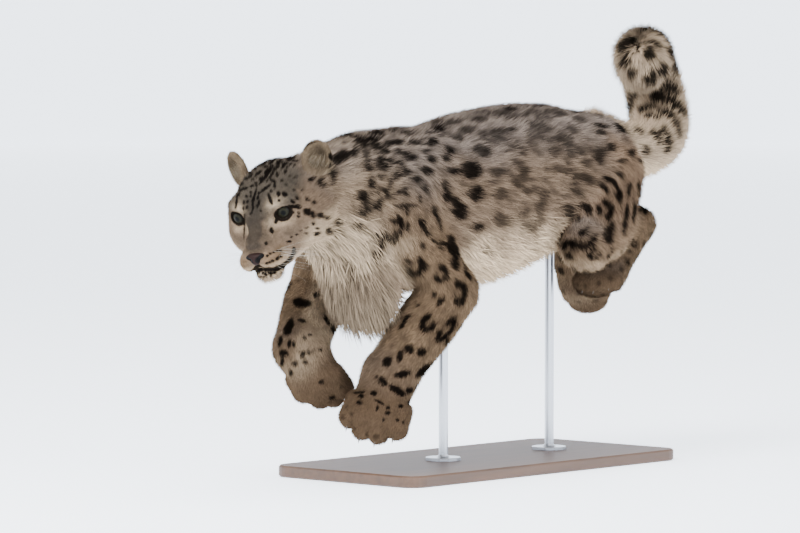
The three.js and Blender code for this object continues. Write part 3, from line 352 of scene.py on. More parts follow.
def leg_forms():
    forms = []
    for side, leg in FORE.items():
        withers = vec(-205, side * 60, 600)
        s, e, w = leg["shoulder"], leg["elbow"], leg["wrist"]
        forms += [
            (Limb(withers, s, FORWARD, [40, 62, 52], [60, 66, 56], [34, 40, 46]), 50, 12, "torso"),
            (Limb(s, e, FORWARD, [50, 54, 54], [66, 72, 54], [48, 54, 52]), 36, 9, "arm"),
            (Limb(e, w, FORWARD, [58, 62, 58, 52], [58, 60, 54, 50], [52, 56, 54, 54]), 20, 5.5, "arm"),
        ]
        forms += foot_forms(w, leg["toes"], FORE_TOP[side], *FORE_PAW)
    for side, leg in HIND.items():
        croup, buttock = vec(268, side * 58, 590), vec(352, side * 52, 560)
        hip, knee, hock, ball = leg["hip"], leg["knee"], leg["hock"], leg["ball"]
        calf = knee + (hock - knee) * 0.35
        haunch = Limb(hip, knee, FORWARD, [70, 74, 66, 52], [86, 88, 70, 50], [52, 58, 54, 46])
        forms += [
            (Lump(croup, (92, 56, 84), (X, Y, Z)), 50, 12, "torso"),
            (haunch, 40, 10, "thigh"),
            (Limb(buttock, calf, FORWARD, [52, 54, 44], [50, 50, 40], [40, 44, 38]), 40, 9, "thigh"),
            (Limb(knee, hock, UP, [46, 44, 34, 28], [44, 44, 34, 28], [42, 42, 34, 28]), 24, 5, "shank"),
            (Limb(hock, ball, UP, [36, 34, 33], [34, 32, 30], [36, 40, 48]), 14, 4, "shank"),
        ]
        forms += foot_forms(ball, leg["toes"], HIND_TOP[side], *HIND_PAW)
    return forms


TORSO = Trunk(TORSO_PATH, UP, TORSO_DEPTH, TORSO_DEPTH, FLANK)
NECK = Trunk(NECK_PATH, UP, [118, 112, 100, 66], [130, 128, 104, 66], [100, 98, 90, 70])
BIB = Lump(vec(-350, -18, 380), (52, 64, 70), (X, Y, Z))
TAIL = Trunk(TAIL_PATH, Y, TAIL_CORE, TAIL_CORE, TAIL_CORE)
# Each form, how softly it blends into those before it, the depth of the coat over it, and its kind.
BODY_FORMS = [
    (TORSO, 1, 9, "torso"),
    (NECK, 60, 10, "neck"),
    (BIB, 60, 2, "neck"),
    (TAIL, 40, 0, "tail"),
    *leg_forms(),
    *head_forms(),
    *ear_forms(LEFT),
    *ear_forms(RIGHT),
]

# A form farther than this from a place doesn't shape the skin there.
NEAR = 60


def skin_field(p, forms=None):
    """The distance of places from the skin, negative within, in millimetres and true near the skin."""
    value = np.full(len(p), 1e3)
    for form, blend, depth, kind in BODY_FORMS if forms is None else forms:
        near = np.linalg.norm(p - form.centre, axis=1) - form.reach
        if kind == "hollow":
            at = near < blend - value + 40
            at &= near < 10
            if at.any():
                value[at] = -smooth_min(-value[at], form.field(p[at]) + depth, blend)
        else:
            at = near < np.minimum(value, NEAR) + blend
            if at.any():
                value[at] = smooth_min(value[at], form.field(p[at]) + depth, blend)
    return value


def slope(p, forms=None, h=0.6):
    """The gradient of the skin's distance."""
    steps = [(skin_field(p + d, forms) - skin_field(p - d, forms)) / (2 * h) for d in np.eye(3) * h]
    return np.stack(steps, axis=-1)


def settled(p, most, turns=2, forms=None):
    """Points moved onto the skin, by at most a given distance."""
    q = p.copy()
    for _ in range(turns):
        g = slope(q, forms)
        q -= g * (skin_field(q, forms) / np.maximum(np.sum(g * g, axis=1), 0.25))[:, None]
    move = q - p
    size = np.linalg.norm(move, axis=1, keepdims=True)
    return p + move * np.minimum(1, most / np.maximum(size, 1e-9))


# The value written for places that are far from the skin.
OUTSIDE = 50.0


def in_triangles(quads):
    return np.concatenate([quads[:, [0, 1, 2]], quads[:, [0, 2, 3]]])


def body_net(cell, low, high, forms=None):
    """Surface net of the skin on a regular grid: vertices and quads."""
    counts = np.ceil((high - low) / cell).astype(int) + 1
    block = 8
    counts = ((counts - 1) // block + 1) * block + 1
    value = np.full(counts, OUTSIDE, np.float32)
    radius = block * cell * 0.87
    for bi in range(0, counts[0] - 1, block):
        for bj in range(0, counts[1] - 1, block):
            rows = range(0, counts[2] - 1, block)
            middle = low + cell * np.array([[bi, bj, bk] for bk in rows]) + cell * block / 2
            for bk, m in zip(rows, skin_field(middle, forms)):
                spans = [slice(b, b + block + 1) for b in (bi, bj, bk)]
                if abs(m) > radius * 1.25 + 8:
                    if m < 0:
                        value[tuple(spans)] = -OUTSIDE
                    continue
                lines = [low[a] + cell * np.arange(s.start, s.stop) for a, s in enumerate(spans)]
                grid = np.stack(np.meshgrid(*lines, indexing="ij"), axis=-1)
                value[tuple(spans)] = skin_field(grid.reshape(-1, 3), forms).reshape(grid.shape[:3])
    inside = value < 0
    shape = np.array(counts) - 1
    total = np.zeros(tuple(shape) + (3,), np.float32)
    hits = np.zeros(tuple(shape), np.int16)

    def corner(offset):
        return tuple(slice(o, o + n) for o, n in zip(offset, shape))

    for axis in range(3):
        for u in (0, 1):
            for v in (0, 1):
                a = [0, 0, 0]
                a[(axis + 1) % 3], a[(axis + 2) % 3] = u, v
                b = list(a)
                b[axis] = 1
                va, vb = value[corner(a)], value[corner(b)]
                crossed = (va < 0) != (vb < 0)
                t = np.where(crossed, va / np.where(crossed, va - vb, 1), 0)
                for k in range(3):
                    total[..., k] += np.where(crossed, t if k == axis else a[k], 0)
                hits += crossed
    active = hits > 0
    number = np.full(tuple(shape), -1, np.int64)
    number[active] = np.arange(active.sum())
    where = np.argwhere(active)
    vertices = low + cell * (where + total[active] / hits[active][:, None])
    quads = []
    for axis in range(3):
        u, v = (axis + 1) % 3, (axis + 2) % 3
        edge = [slice(1, n) for n in shape]
        edge[axis] = slice(0, shape[axis])
        ahead = list(edge)
        ahead[axis] = slice(1, shape[axis] + 1)
        here, there = inside[tuple(edge)], inside[tuple(ahead)]
        at = np.argwhere(here != there) + [1 if k != axis else 0 for k in range(3)]
        outward = inside[tuple(at.T)]
        eu, ev = np.eye(3, dtype=int)[u], np.eye(3, dtype=int)[v]
        four = [number[tuple((at - d).T)] for d in (eu + ev, ev, 0 * eu, eu)]
        quad = np.stack(four, axis=1)
        quad[~outward] = quad[~outward][:, ::-1]
        quads.append(quad)
    return vertices, np.concatenate(quads)


def refined(vertices, triangles, chosen):
    """Splits each edge whose two ends are chosen, and the triangles beside it to match."""
    pairs = np.stack([triangles[:, [0, 1]], triangles[:, [1, 2]], triangles[:, [2, 0]]], axis=1)
    unique, inverse = np.unique(np.sort(pairs.reshape(-1, 2), axis=1), axis=0, return_inverse=True)
    split = chosen[unique].all(axis=1)
    number = np.full(len(unique), -1)
    number[split] = len(vertices) + np.arange(split.sum())
    middles = number[inverse.reshape(-1)].reshape(-1, 3)
    code = (middles >= 0) @ np.array([1, 2, 4])
    out = [triangles[code == 0]]
    patterns = {
        1: ((1, 2, 4), ("0a2", "a12")),
        2: ((3, 6, 5), ("0a2", "ab2", "a1b")),
        3: ((7,), ("0ac", "a1b", "cb2", "abc")),
    }
    for codes, corners in patterns.values():
        for shift, wanted in enumerate(codes):
            t = np.roll(triangles[code == wanted], -shift, axis=1)
            m = np.roll(middles[code == wanted], -shift, axis=1)
            column = {"0": t[:, 0], "1": t[:, 1], "2": t[:, 2], "a": m[:, 0], "b": m[:, 1], "c": m[:, 2]}
            out += [np.stack([column[c] for c in corner], axis=1) for corner in corners]
    return np.concatenate([vertices, vertices[unique[split]].mean(axis=1)]), np.concatenate(out)


# The face: eyes, lids, lips and nose
EYE = {"radius": 16, "fore": -5, "left": 38.5, "lid": 3.0, "open": (13.5, 9.6)}


def eye_frame(side):
    """Centre of an eyeball, and the axes it looks along, towards its outer corner and up."""
    centre = in_head(EYE["fore"], -side * EYE["left"], 0)
    look = unit(HEAD_FORE - side * 0.3 * HEAD_LEFT)
    corner = unit(-side * np.cross(HEAD_UP, look) + 0.22 * HEAD_UP)
    return centre, (look, corner, np.cross(look, corner))


def eye_forms(side):
    centre, axes = eye_frame(side)
    r = EYE["radius"]
    opening = centre + axes[0] * r * 1.15
    return [
        (Lump(centre, [r + EYE["lid"]] * 3, axes), 5, 0, "head"),
        (Lump(opening, (r, *EYE["open"]), axes), 1.5, 0, "hollow"),
        (Lump(centre, [r + 0.2] * 3, axes), 0.4, 0, "hollow"),
    ]


NOSE_FORMS = [
    (Lump(in_head(69, 0, -48), (9, 18, 6.5), HEAD_AXES), 1, 0, "nose"),
    (Lump(in_head(71, 0, -55), (8, 8, 8), HEAD_AXES), 8, 0, "nose"),
    (Lump(in_head(79, 8.5, -51), (7, 5, 4), HEAD_AXES), 2, 0, "hollow"),
    (Lump(in_head(79, -8.5, -51), (7, 5, 4), HEAD_AXES), 2, 0, "hollow"),
]
LIP = [(72, 0, -71), (66, 12, -78), (52, 22, -84), (34, 32, -82), (18, 40, -75), (8, 44, -67)]
PHILTRUM = [(74, 0, -60), (74, 0, -65), (71, 0, -72)]


class Groove:
    """A round groove along points."""

    def __init__(self, points, radius):
        self.at, self.radius = np.array(points), radius
        self.centre = self.at.mean(axis=0)
        self.reach = float(np.linalg.norm(self.at - self.centre, axis=1).max()) + radius

    def field(self, p):
        best = np.full(len(p), np.inf)
        for a, b in zip(self.at[:-1], self.at[1:]):
            d, run = p - a, b - a
            u = np.clip(d @ run / (run @ run), 0, 1)
            best = np.minimum(best, np.linalg.norm(d - u[:, None] * run, axis=1))
        return best - self.radius


HEAD_ONLY = head_forms()


def on_head(places, side=RIGHT):
    """Places of the head's own frame, moved onto its skin."""
    return settled(np.array([in_head(f, -side * a, u) for f, a, u in places]), 30, 3, HEAD_ONLY)


LIP_LINES = [spline(on_head(LIP, side), np.linspace(0, 1, 16)) for side in (LEFT, RIGHT)]
FACE_FORMS = [
    *eye_forms(LEFT),
    *eye_forms(RIGHT),
    *((Groove(line, 2.0), 1.5, 0, "hollow") for line in LIP_LINES),
    (Groove(on_head(PHILTRUM), 1.3), 1.5, 0, "hollow"),
]
SKIN_FORMS = BODY_FORMS + FACE_FORMS

# The skin's mesh
CELL = 5.5
LOW, HIGH = vec(-760, -200, 60), vec(830, 240, 850)


def skin_mesh():
    """The skin, with smaller triangles on the head, and the smallest about eyes, nose and mouth."""
    vertices, quads = body_net(CELL, LOW, HIGH)
    vertices = settled(vertices, CELL * 0.5)
    triangles = in_triangles(quads)
    for level, behind in ((0, -140), (1, -45)):
        place = head_place(vertices)
        if level == 0:
            chosen = place[:, 0] > -135
        else:
            gaps = [np.linalg.norm(vertices - eye_frame(side)[0], axis=1) for side in (LEFT, RIGHT)]
            chosen = ((place[:, 0] > 5) & (place[:, 2] < -15)) | (np.minimum(*gaps) < 34)
        vertices, triangles = refined(vertices, triangles, chosen)
        near = head_place(vertices)[:, 0] > behind
        forms = SKIN_FORMS if level else None
        vertices[near] = settled(vertices[near], CELL / (2 + 2 * level), 2, forms)
    return vertices, triangles


SKIN, FACES = skin_mesh()


def vertex_normals(vertices, triangles):
    a, b, c = (vertices[triangles[:, k]] for k in range(3))
    face = np.cross(b - a, c - a)
    total = np.zeros_like(vertices)
    for k in range(3):
        np.add.at(total, triangles[:, k], face)
    return unit(total)


NORMALS = vertex_normals(SKIN, FACES)


def direction_of(form, kind, p):
    """The lie of the coat over one form. Near the tail's end it hangs."""
    if kind == "tail":
        t, _, way = form.nearest(p)
        hang = 2.2 * band(t, 0.8, 0.93)
        return unit(way + hang[:, None] * vec(0.2, 0, -1))
    if isinstance(form, Trunk):
        way = form.nearest(p)[2]
        return way if form is TORSO else -way
    if isinstance(form, Limb):
        return np.broadcast_to(form.axis, p.shape)
    if kind == "head":
        from_nose = unit(p - in_head(84, 0, -30))
        return unit(from_nose - 0.35 * HEAD_FORE)
    if kind == "ear":
        return np.broadcast_to(form.axes[2] * np.sign(form.axes[2] @ HEAD_UP), p.shape)
    return np.broadcast_to(X, p.shape)


KINDS = ["torso", "neck", "tail", "arm", "paw", "thigh", "shank", "head", "ear"]


def regions(p, n):
    """Shares of each kind of form at places on the skin, and the lie of the coat there."""
    share = np.zeros((len(p), len(KINDS)))
    lie = np.zeros_like(p)
    for form, _, depth, kind in BODY_FORMS:
        if kind == "hollow":
            continue
        at = np.linalg.norm(p - form.centre, axis=1) - form.reach < 40
        if not at.any():
            continue
        weight = np.exp(-np.maximum(form.field(p[at]) + depth, 0) / 9.0)
        share[at, KINDS.index(kind)] += weight
        lie[at] += weight[:, None] * direction_of(form, kind, p[at])
    share = share / np.maximum(share.sum(axis=1, keepdims=True), 1e-9)
    trunk_share = share[:, 0] + share[:, 1]
    lie = unit(lie) + trunk_share[:, None] * vec(0, 0, -0.55) * (1 - np.abs(n[:, 2:3]))
    side_edge = band(n @ unit(FORWARD - 0.55 * UP), 0.0, 0.45)
    bib = np.exp(-(np.maximum(BIB.field(p) + 18, 0) / 26) ** 2) * side_edge
    lie = unit(lie) * (1 - 0.8 * bib[:, None]) + bib[:, None] * vec(0.15, 0, -1)
    lie = lie - n * np.sum(lie * n, axis=1, keepdims=True)
    return share, unit(lie), bib


SHARE, LIE, BIB_SHARE = regions(SKIN, NORMALS)


def mesh_object(name, vertices, faces):
    """A mesh object from millimetres."""
    data = bpy.data.meshes.new(name)
    faces = np.asarray(faces)
    vertices = np.asarray(vertices, np.float32) / 1000
    data.vertices.add(len(vertices))
    data.vertices.foreach_set("co", vertices.ravel())
    size = faces.shape[1]
    data.loops.add(faces.size)
    data.loops.foreach_set("vertex_index", faces.astype(np.int32).ravel())
    data.polygons.add(len(faces))
    data.polygons.foreach_set("loop_start", np.arange(0, faces.size, size, dtype=np.int32))
    data.polygons.foreach_set("use_smooth", np.ones(len(faces), bool))
    data.update()
    data.validate()
    piece = bpy.data.objects.new(name, data)
    bpy.context.scene.collection.objects.link(piece)
    return piece


# Markings
def linear(*srgb):
    """A colour as the screen shows it, made linear."""
    c = np.array(srgb, float)
    return np.where(c <= 0.04045, c / 12.92, ((c + 0.055) / 1.055) ** 2.4)


class Noise:
    """Smooth noise from -1 to 1 in space."""

    def __init__(self, size=24):
        self.size = size
        self.values = RNG.uniform(-1, 1, (size, size, size)).astype(np.float32)

    def __call__(self, p, scale):
        q = p / scale
        i = np.floor(q).astype(int)
        f = q - i
        f = f * f * (3 - 2 * f)
        total = np.zeros(len(p))
        for corner in np.ndindex(2, 2, 2):
            weight = np.prod(np.where(np.array(corner) == 1, f, 1 - f), axis=1)
            at = (i + corner) % self.size
            total += weight * self.values[at[:, 0], at[:, 1], at[:, 2]]
        return total


NOISE = [Noise() for _ in range(4)]


def kind(share, name):
    return share[:, KINDS.index(name)]


def pattern_plan(p, n, share, bib):
    """Spacing and size of the marks at places on the skin, how many are rings, stretch and strength."""
    torso, neck, tail, arm, paw, thigh, shank, head, ear = share.T
    x, z = p[:, 0], p[:, 2]
    low_arm = arm * band(-z, -400, -330)
    place = head_place(p)
    saddle = torso * band(n[:, 2], 0.72, 0.9)
    haunch = np.clip(thigh + torso * band(x, 190, 270), 0, 1)
    shoulder = np.clip(neck + torso * band(-x, 90, 220), 0, 1) * (1 - haunch)
    flank = np.clip(torso - haunch * torso - shoulder * torso, 0, 1)
    parts = [
        # weight, spacing, size, rings, stretch, strength
        (head, 15, 4.6, 0.0, 1.5, 1.0),
        (ear, 60, 4, 0.0, 1, 0.0),
        (shoulder * (1 - saddle), 40, 14, 0.45, 1.15, 0.85),
        (flank * (1 - saddle), 68, 29, 0.85, 1.2, 0.62),
        (haunch * (1 - saddle), 56, 23, 0.9, 1.1, 0.95),
        (saddle * (1 - head), 38, 15, 0.2, 2.0, 0.85),
        (arm - low_arm, 40, 15, 0.55, 1.1, 0.95),
        (low_arm, 29, 10.5, 0.1, 0.75, 0.95),
        (shank, 30, 10, 0.1, 0.8, 0.9),
        (paw, 21, 5, 0.0, 1.0, 0.45),
        (tail, 400, 10, 0.0, 1.0, 0.0),
    ]
    weights = np.stack([np.maximum(part[0], 0) for part in parts], axis=1) + 1e-6
    weights /= weights.sum(axis=1, keepdims=True)
    columns = (weights @ np.array([part[k] for part in parts]) for k in range(1, 6))
    spacing, size, rings, stretch, strength = columns
    pale = np.maximum(bib, torso * band(-n[:, 2], 0.35, 0.75))
    pale = np.maximum(pale, (arm + thigh) * band(np.sign(p[:, 1]) * -n[:, 1], 0.35, 0.7) * 0.8)
    face = head * band(place[:, 0], -40, -15) * band(-place[:, 2], -16, -4)
    strength = strength * (1 - pale) * (1 - face)
    return spacing, size, rings, stretch, strength


PLAN = pattern_plan(SKIN, NORMALS, SHARE, BIB_SHARE)

# Marks seen in the photograph: across and down in its pixels, half length, half width, turn,
# and a last 1 where the mark is a ring.
PHOTO_MARKS = [
    # haunch
    (585.6, 185.5, 12, 11, 0, 1), (564.5, 148.2, 13, 15, 0, 1), (612.4, 190.3, 13, 7, -60, 1),
    (591.3, 156.8, 10, 9, 0, 1), (604.7, 155.8, 5, 9, 0), (626.7, 221.8, 16, 3.4, 85),
    (634.4, 217, 12, 2.8, 82), (629.6, 192.2, 8, 2.4, 80), (638.2, 190.3, 7, 2.4, 75),
    (644, 205.6, 10, 2.8, 95), (573.1, 214.2, 10, 7, -55), (586.5, 240, 13, 9, 35, 1),
    (611.4, 235.2, 11, 6, 80), (605.7, 212.3, 9.5, 7, -60, 1), (588.5, 211.3, 7.5, 4.5, -60),
    (560.7, 169.2, 6, 4.5, -30), (616.2, 147.2, 5, 4, 0), (622, 176.9, 4.5, 4, 0),
    (632.5, 155.8, 4.4, 3.4, 0), (646.8, 153, 4.6, 3.4, 60), (505.2, 220.9, 11, 6.5, -15),
    (504.3, 195, 6.5, 5.5, -60), (532, 186.4, 9, 7.5, 0, 1), (547.3, 198.9, 9.5, 5, -80),
    (530, 171, 6, 3, 20), (482.3, 228.5, 5, 3, -30), (488, 251.5, 6.5, 4.5, -45),
    (453.6, 247.7, 10, 5, -75), (457.4, 263, 8, 4.5, -80), (543.5, 127, 12, 6, -10),
    (556.9, 111.8, 13, 4, -5), (534, 115.7, 9, 8, 0, 1), (506, 133, 12, 6, 5, 1),
    (520, 150, 10, 5, -10, 1), (486, 150, 10, 5, -15), (470, 128, 9, 3.5, 10), (498, 112, 12, 3.5, 8),
    (455, 120, 10, 3, 10), (475, 170, 9, 5, -20), (500, 172, 9, 4.5, -10), (480, 195, 8, 5, -25),
    (465, 215, 7, 4.5, -40), (575, 128, 8, 5, -20), (582, 118, 8, 3.5, -15), (570, 172, 5, 4, -40),
    (604, 132, 6, 3, -20),
    # shoulder
    (331.9, 136.3, 6.5, 1.6, 15), (346, 133.5, 8, 2.5, -5), (361.2, 136.3, 8, 2.5, 0),
    (378.5, 133, 8, 2.5, 5), (363.4, 140, 7, 2, 5), (375.3, 137.9, 6, 2.5, 15), (366.6, 144.4, 5, 2.5, 30),
    (378.5, 144.4, 6, 2.5, -10), (390.5, 142.2, 4, 2.5, 0), (400, 140.6, 6, 2, 5),
    (387.2, 149.8, 5, 2, -20), (368.8, 150.9, 4, 2, 0), (358, 150.4, 3, 4, 0), (348.7, 152.5, 5, 4, 30),
    (340.6, 157.4, 5, 4, -30), (331.9, 155.8, 3, 4, 0), (368.8, 155.2, 3, 2, 0), (384, 160.1, 4.5, 3, -20),
    (371, 159.6, 3.5, 1.5, -10), (394.8, 159.6, 5, 2, -20), (402.4, 150.4, 4, 2, -25),
    (413.2, 155.8, 7, 2.5, -15), (372, 166.6, 5, 2, -40), (385, 166.6, 6, 2.5, -35), (392, 166.6, 2, 2, 0),
    (404.6, 163.4, 6, 1.8, -40), (410, 172, 5, 2.5, -30), (399.7, 176.4, 4, 3, -20), (394.8, 184, 3, 3, 0),
    (384, 177.5, 3, 2, 0), (374.2, 182.9, 4, 4, 0), (392, 191.5, 2.5, 3, 0), (385, 197, 6, 4.5, 0, 1),
    (406.7, 190.5, 3, 2.5, 0), (408.9, 194.8, 3, 2, 0), (400.8, 193.7, 2, 2, 0), (428.4, 190.5, 2.5, 3, 0),
    (421.9, 200.8, 4.5, 1.6, 95), (364.4, 195.9, 5, 3, 80), (374.2, 204, 7, 5, 0, 1),
    (380.7, 207.8, 4.5, 2.5, 80), (366.6, 215.9, 5, 3, -10), (360.7, 227.3, 4, 3, 70),
    (408.9, 207.3, 11, 1.8, 2), (408.9, 214.3, 5, 1.8, 88), (400.8, 219.2, 4.5, 1.8, -50),
    (408.9, 229.5, 5, 1.8, 95), (395.9, 230.6, 8, 7.5, 0, 1), (401.3, 236, 4, 2.5, -60),
    (394.8, 243.6, 4.5, 4, 30), (383.4, 237.6, 6, 2.6, 0), (377.5, 247.9, 7, 5, 30, 1),
    (375.3, 257.7, 3.5, 3, 0), (424, 225.7, 6, 3.5, -70), (428.4, 234.9, 4, 3, -45),
    (436, 242.5, 4, 1.7, -35), (444.7, 244.7, 4.5, 2.5, 10), (442.5, 249.5, 4, 1.8, -5),
    (437, 213.2, 5, 3, -60), (440.3, 219.7, 5, 1.8, -80), (442, 228.4, 6, 1.5, -85),
    (452.8, 240.3, 6, 3.8, -70), (459.8, 252.2, 5.5, 3.8, -65), (457.7, 266.3, 6.5, 4, -75),
    (424.6, 248.5, 3.8, 3, -50), (415.4, 268.5, 10, 9, 0, 1), (442.5, 276, 8, 7, 70, 1),
    (469.6, 276, 6.5, 2.5, -62), (458.8, 285.8, 4, 4, 0), (449, 187.2, 4, 3, 0), (450, 198, 5, 3, -10),
    (459.8, 204.5, 6, 3, -20), (458.8, 213.2, 5, 2, -20), (450, 160, 5, 2, -25), (453.3, 152.5, 5, 3, 0),
    (457.7, 172, 7, 2, -5), (434.9, 141.7, 5, 3, 0), (429.5, 151.4, 4, 2, 0), (430, 172, 6, 2.5, -20),
    (420, 181, 5, 2.2, -20), (435, 160, 6, 2.5, -10), (418, 140, 7, 2, 10), (440, 127, 8, 2.5, 12),
    # arms
    (434, 296, 3, 2.6, 0), (440, 303.5, 6, 3, 45), (460, 295.4, 11, 7, 80, 1), (470.9, 277.4, 5, 2.6, -60),
    (416, 306, 3, 1.8, 0), (405.3, 318.2, 4.5, 2.2, 40), (401.2, 325, 6, 2.2, 50),
    (428, 324.2, 8.5, 7.5, 60, 1), (424, 330, 4, 3, 0), (446.8, 330.3, 12, 6, 50, 1),
    (438.7, 341, 4.5, 3.5, 30), (408, 350.4, 6, 4.6, -30), (398.6, 357, 6.6, 3.2, 80),
    (421.3, 353.7, 5, 4.6, 0), (386.1, 362.4, 6, 4.3, 75), (402, 375.1, 8.5, 3.6, 12),
    (422.7, 373.1, 9.5, 4, 42), (382.5, 382.5, 5.5, 4, -35), (396.6, 391.2, 10, 3.6, -28),
    (410, 391.2, 4.2, 3.5, 20), (418, 389.9, 4, 2.5, 80), (373.1, 393.2, 3, 2.6, 0),
    (375.8, 377.8, 1.9, 1.6, 0), (360.4, 396.6, 3, 2.6, 0), (358.4, 403.3, 2.6, 2, 0),
    (359, 392.5, 6, 1.2, 5), (378.5, 402.6, 6, 1.3, -25), (387.9, 407.9, 2.2, 1.7, 0),
    (387.9, 413, 2.9, 1.9, 10), (410, 403.3, 2.6, 2, 60), (400.6, 406.6, 2.6, 2, 0),
    (383.8, 420.7, 1.9, 1.6, 0), (397.9, 420.7, 2.1, 1.7, 0), (403.9, 422.7, 1.4, 1.4, 0),
    (377, 409, 3, 1.2, 80), (301.5, 303.5, 10, 4.8, -12), (316.2, 296, 3, 3, 0), (288, 327.6, 9, 4.6, 68),
    (301.5, 320.9, 4.6, 1.8, -10), (310.2, 335.4, 2.6, 1.5, 0), (304.6, 339, 2.2, 2, 0),
    (279.5, 342.3, 6, 2.6, 80), (289.4, 345, 4.5, 2.2, 80), (294, 345.7, 3.2, 1.6, -70),
    (284, 354.4, 4.5, 4, 0), (307.5, 353.7, 9, 1.4, 8), (320.9, 351.3, 2.2, 1.6, 0),
    (302.5, 357.7, 2.7, 2.5, 0), (305.5, 364, 2.7, 2.5, 0), (295.4, 365, 3.8, 2.6, 0),
    (282.5, 363.7, 5, 2.2, 85), (291.4, 374.5, 4, 2.2, 80), (321.6, 383.2, 3, 2, 0),
    (332.3, 398.6, 3, 2, 0), (327.6, 321, 6, 2, -60), (335, 331.6, 6, 2.2, -75),
    # face
    (293.4, 206, 4.3, 1.2, -3), (308.2, 211.6, 3.5, 2.4, -25), (313.8, 214.1, 2.4, 2.2, 0),
    (321.9, 214.9, 3.1, 1.8, -10), (329.1, 216.9, 3.3, 1.3, -10), (340.3, 221.6, 3.5, 2.1, -60),
    (332.1, 232, 3.3, 2.8, -45), (327, 243.7, 3.5, 1.8, 20), (318.4, 234, 2.9, 1.4, 18),
    (313.8, 223.3, 1.9, 1.3, 30), (317.9, 228.2, 1.5, 0.9, 0), (307.1, 233.5, 1.3, 0.7, 20),
    (307.7, 227.9, 1.5, 0.5, 30), (296.9, 234.6, 1.3, 0.6, 30), (291.3, 237.1, 1.3, 0.6, 30),
    (289.3, 241.7, 2, 0.8, 0), (301, 230.8, 1.4, 0.4, 30), (298.5, 212.6, 1.5, 0.9, -50),
    (298.5, 216.2, 1.8, 0.9, -10), (292.3, 212.6, 1.6, 1, 30), (308.7, 198.3, 2.9, 1.2, -30),
    (315.8, 201.2, 2.2, 1.2, -40), (298, 197.3, 2.2, 1.1, -40), (292.9, 200.9, 2, 1.3, -45),
    (298, 206, 2.9, 1.6, -25), (270.4, 198.8, 5.3, 1.2, -72), (265, 188.3, 5.9, 1, 42),
    (284.7, 193, 2.7, 1.9, -30), (278.6, 193.2, 2.4, 1.2, 85), (279.1, 199.9, 1.3, 1, 0),
    (273, 180, 2.9, 1.1, -35), (274.7, 185.1, 2.3, 1.1, -80), (271.4, 190.7, 1.5, 0.9, 0),
    (285.7, 170.3, 1.8, 1.4, 60), (283.2, 165.7, 2, 1, 60), (244.4, 187.6, 3.1, 1.1, 15),
    (250.7, 171.3, 2, 1, 15), (248.5, 176.1, 3.7, 0.9, 32), (245.9, 177.6, 1.4, 0.9, 0),
    (252.3, 178.4, 1.4, 0.9, 30), (258.2, 172.6, 4.5, 1, 35), (255.4, 167.9, 1.4, 0.9, 0),
    (258.7, 164.1, 2.2, 1, 10), (265.8, 165.7, 2, 1, 30), (260.9, 170.6, 1.8, 1, 30),
    (265.3, 175.4, 8.6, 1.2, 52), (255.6, 182, 1.4, 0.9, 0), (256.1, 185.1, 1.2, 0.8, 0),
    (272.4, 172.6, 2.7, 1, 55), (276, 166.9, 3.5, 1.1, 40), (277.6, 173.3, 2.4, 1, -75),
    (269.1, 167.7, 2.4, 1.2, 60), (275, 156.5, 4.5, 1.5, 45), (280.6, 160.1, 3.3, 1.1, 10),
    (285.4, 162.6, 3.1, 1.1, 5), (290.3, 158, 3.3, 1.7, 0), (291.8, 152.9, 2.9, 1.5, 10),
    (286.2, 153.6, 2.2, 1, 0), (288.8, 148.3, 2.4, 1, 20), (278.1, 162.6, 2.2, 1, 30),
    (271.9, 161.1, 2.9, 1.1, 40), (263.8, 161.1, 2.7, 0.9, 20), (268.9, 158, 3.1, 0.9, 40),
    (282.1, 156, 2, 0.9, 30), (306.1, 144.2, 6.5, 1.5, 20), (303.6, 148, 3.3, 0.9, 0),
    (296.4, 146.3, 3.1, 1, 20), (313.8, 141.2, 5.1, 1, 10), (296.4, 151.4, 2, 0.9, 0),
    (295.4, 156, 2, 1, 10), (296.4, 159.6, 3.1, 0.9, 10), (258.7, 193.2, 1.5, 0.8, 90),
    (257.9, 197.6, 2, 0.8, 80), (259, 202.4, 2.2, 0.8, 80), (257.1, 205.7, 1.5, 0.8, 80),
    (260.7, 210.1, 1.4, 0.5, -40), (243.9, 202.4, 1.7, 0.8, 88), (243.7, 208, 2, 0.7, 85),
    (247.7, 201.4, 1.6, 0.8, 60), (246.9, 207, 1.6, 0.9, 60), (246.4, 196.3, 1.3, 0.8, 80),
    (250.5, 192.2, 1.4, 0.8, 80), (250.5, 195.8, 1.2, 0.8, 80), (250, 213.6, 0.9, 0.7, 0),
    (252.3, 210.1, 3.3, 0.6, 75), (254.1, 197.3, 8.2, 0.9, 78), (236, 202.4, 5.3, 0.9, 80),
    (271.9, 230.5, 2.8, 1.4, -75), (266.5, 243.7, 1.4, 1.2, 0), (267.3, 256, 1.5, 0.9, 30),
    (270.7, 253.4, 1.1, 0.9, 0), (274.2, 251.9, 1.1, 0.9, 0), (277.9, 250.9, 1.1, 0.8, 0),
    (280.8, 250.4, 1.1, 0.7, 0), (266.8, 263.6, 1.8, 0.9, 20), (269.6, 262.6, 1.3, 0.9, 0),
    (272.4, 261.1, 1.5, 1, 0), (277.2, 259, 1.8, 1.2, 30), (280.9, 256.7, 1.4, 0.9, 10),
    (289.8, 260.1, 2, 1.4, 20), (295.4, 253.4, 1.6, 0.9, 60), (258.7, 272, 1.6, 1, 0),
    (263, 274, 1.4, 1.1, 0), (266, 275.1, 1.4, 0.9, -60), (261.7, 270.5, 2.2, 0.8, 0),
    (271.4, 277.1, 1.1, 0.7, -60), (268.9, 273.3, 1.4, 0.9, -50), (256.6, 275.9, 1.2, 0.8, 0),
    (260.7, 277.4, 1, 0.7, 0), (312.8, 178.4, 3.3, 1.9, 20), (323, 181, 3.8, 3.2, 0),
    (337.3, 179, 3.4, 3, 0), (333.2, 167.2, 4.7, 1.6, -60), (336.3, 172.9, 4.5, 2.4, -70),
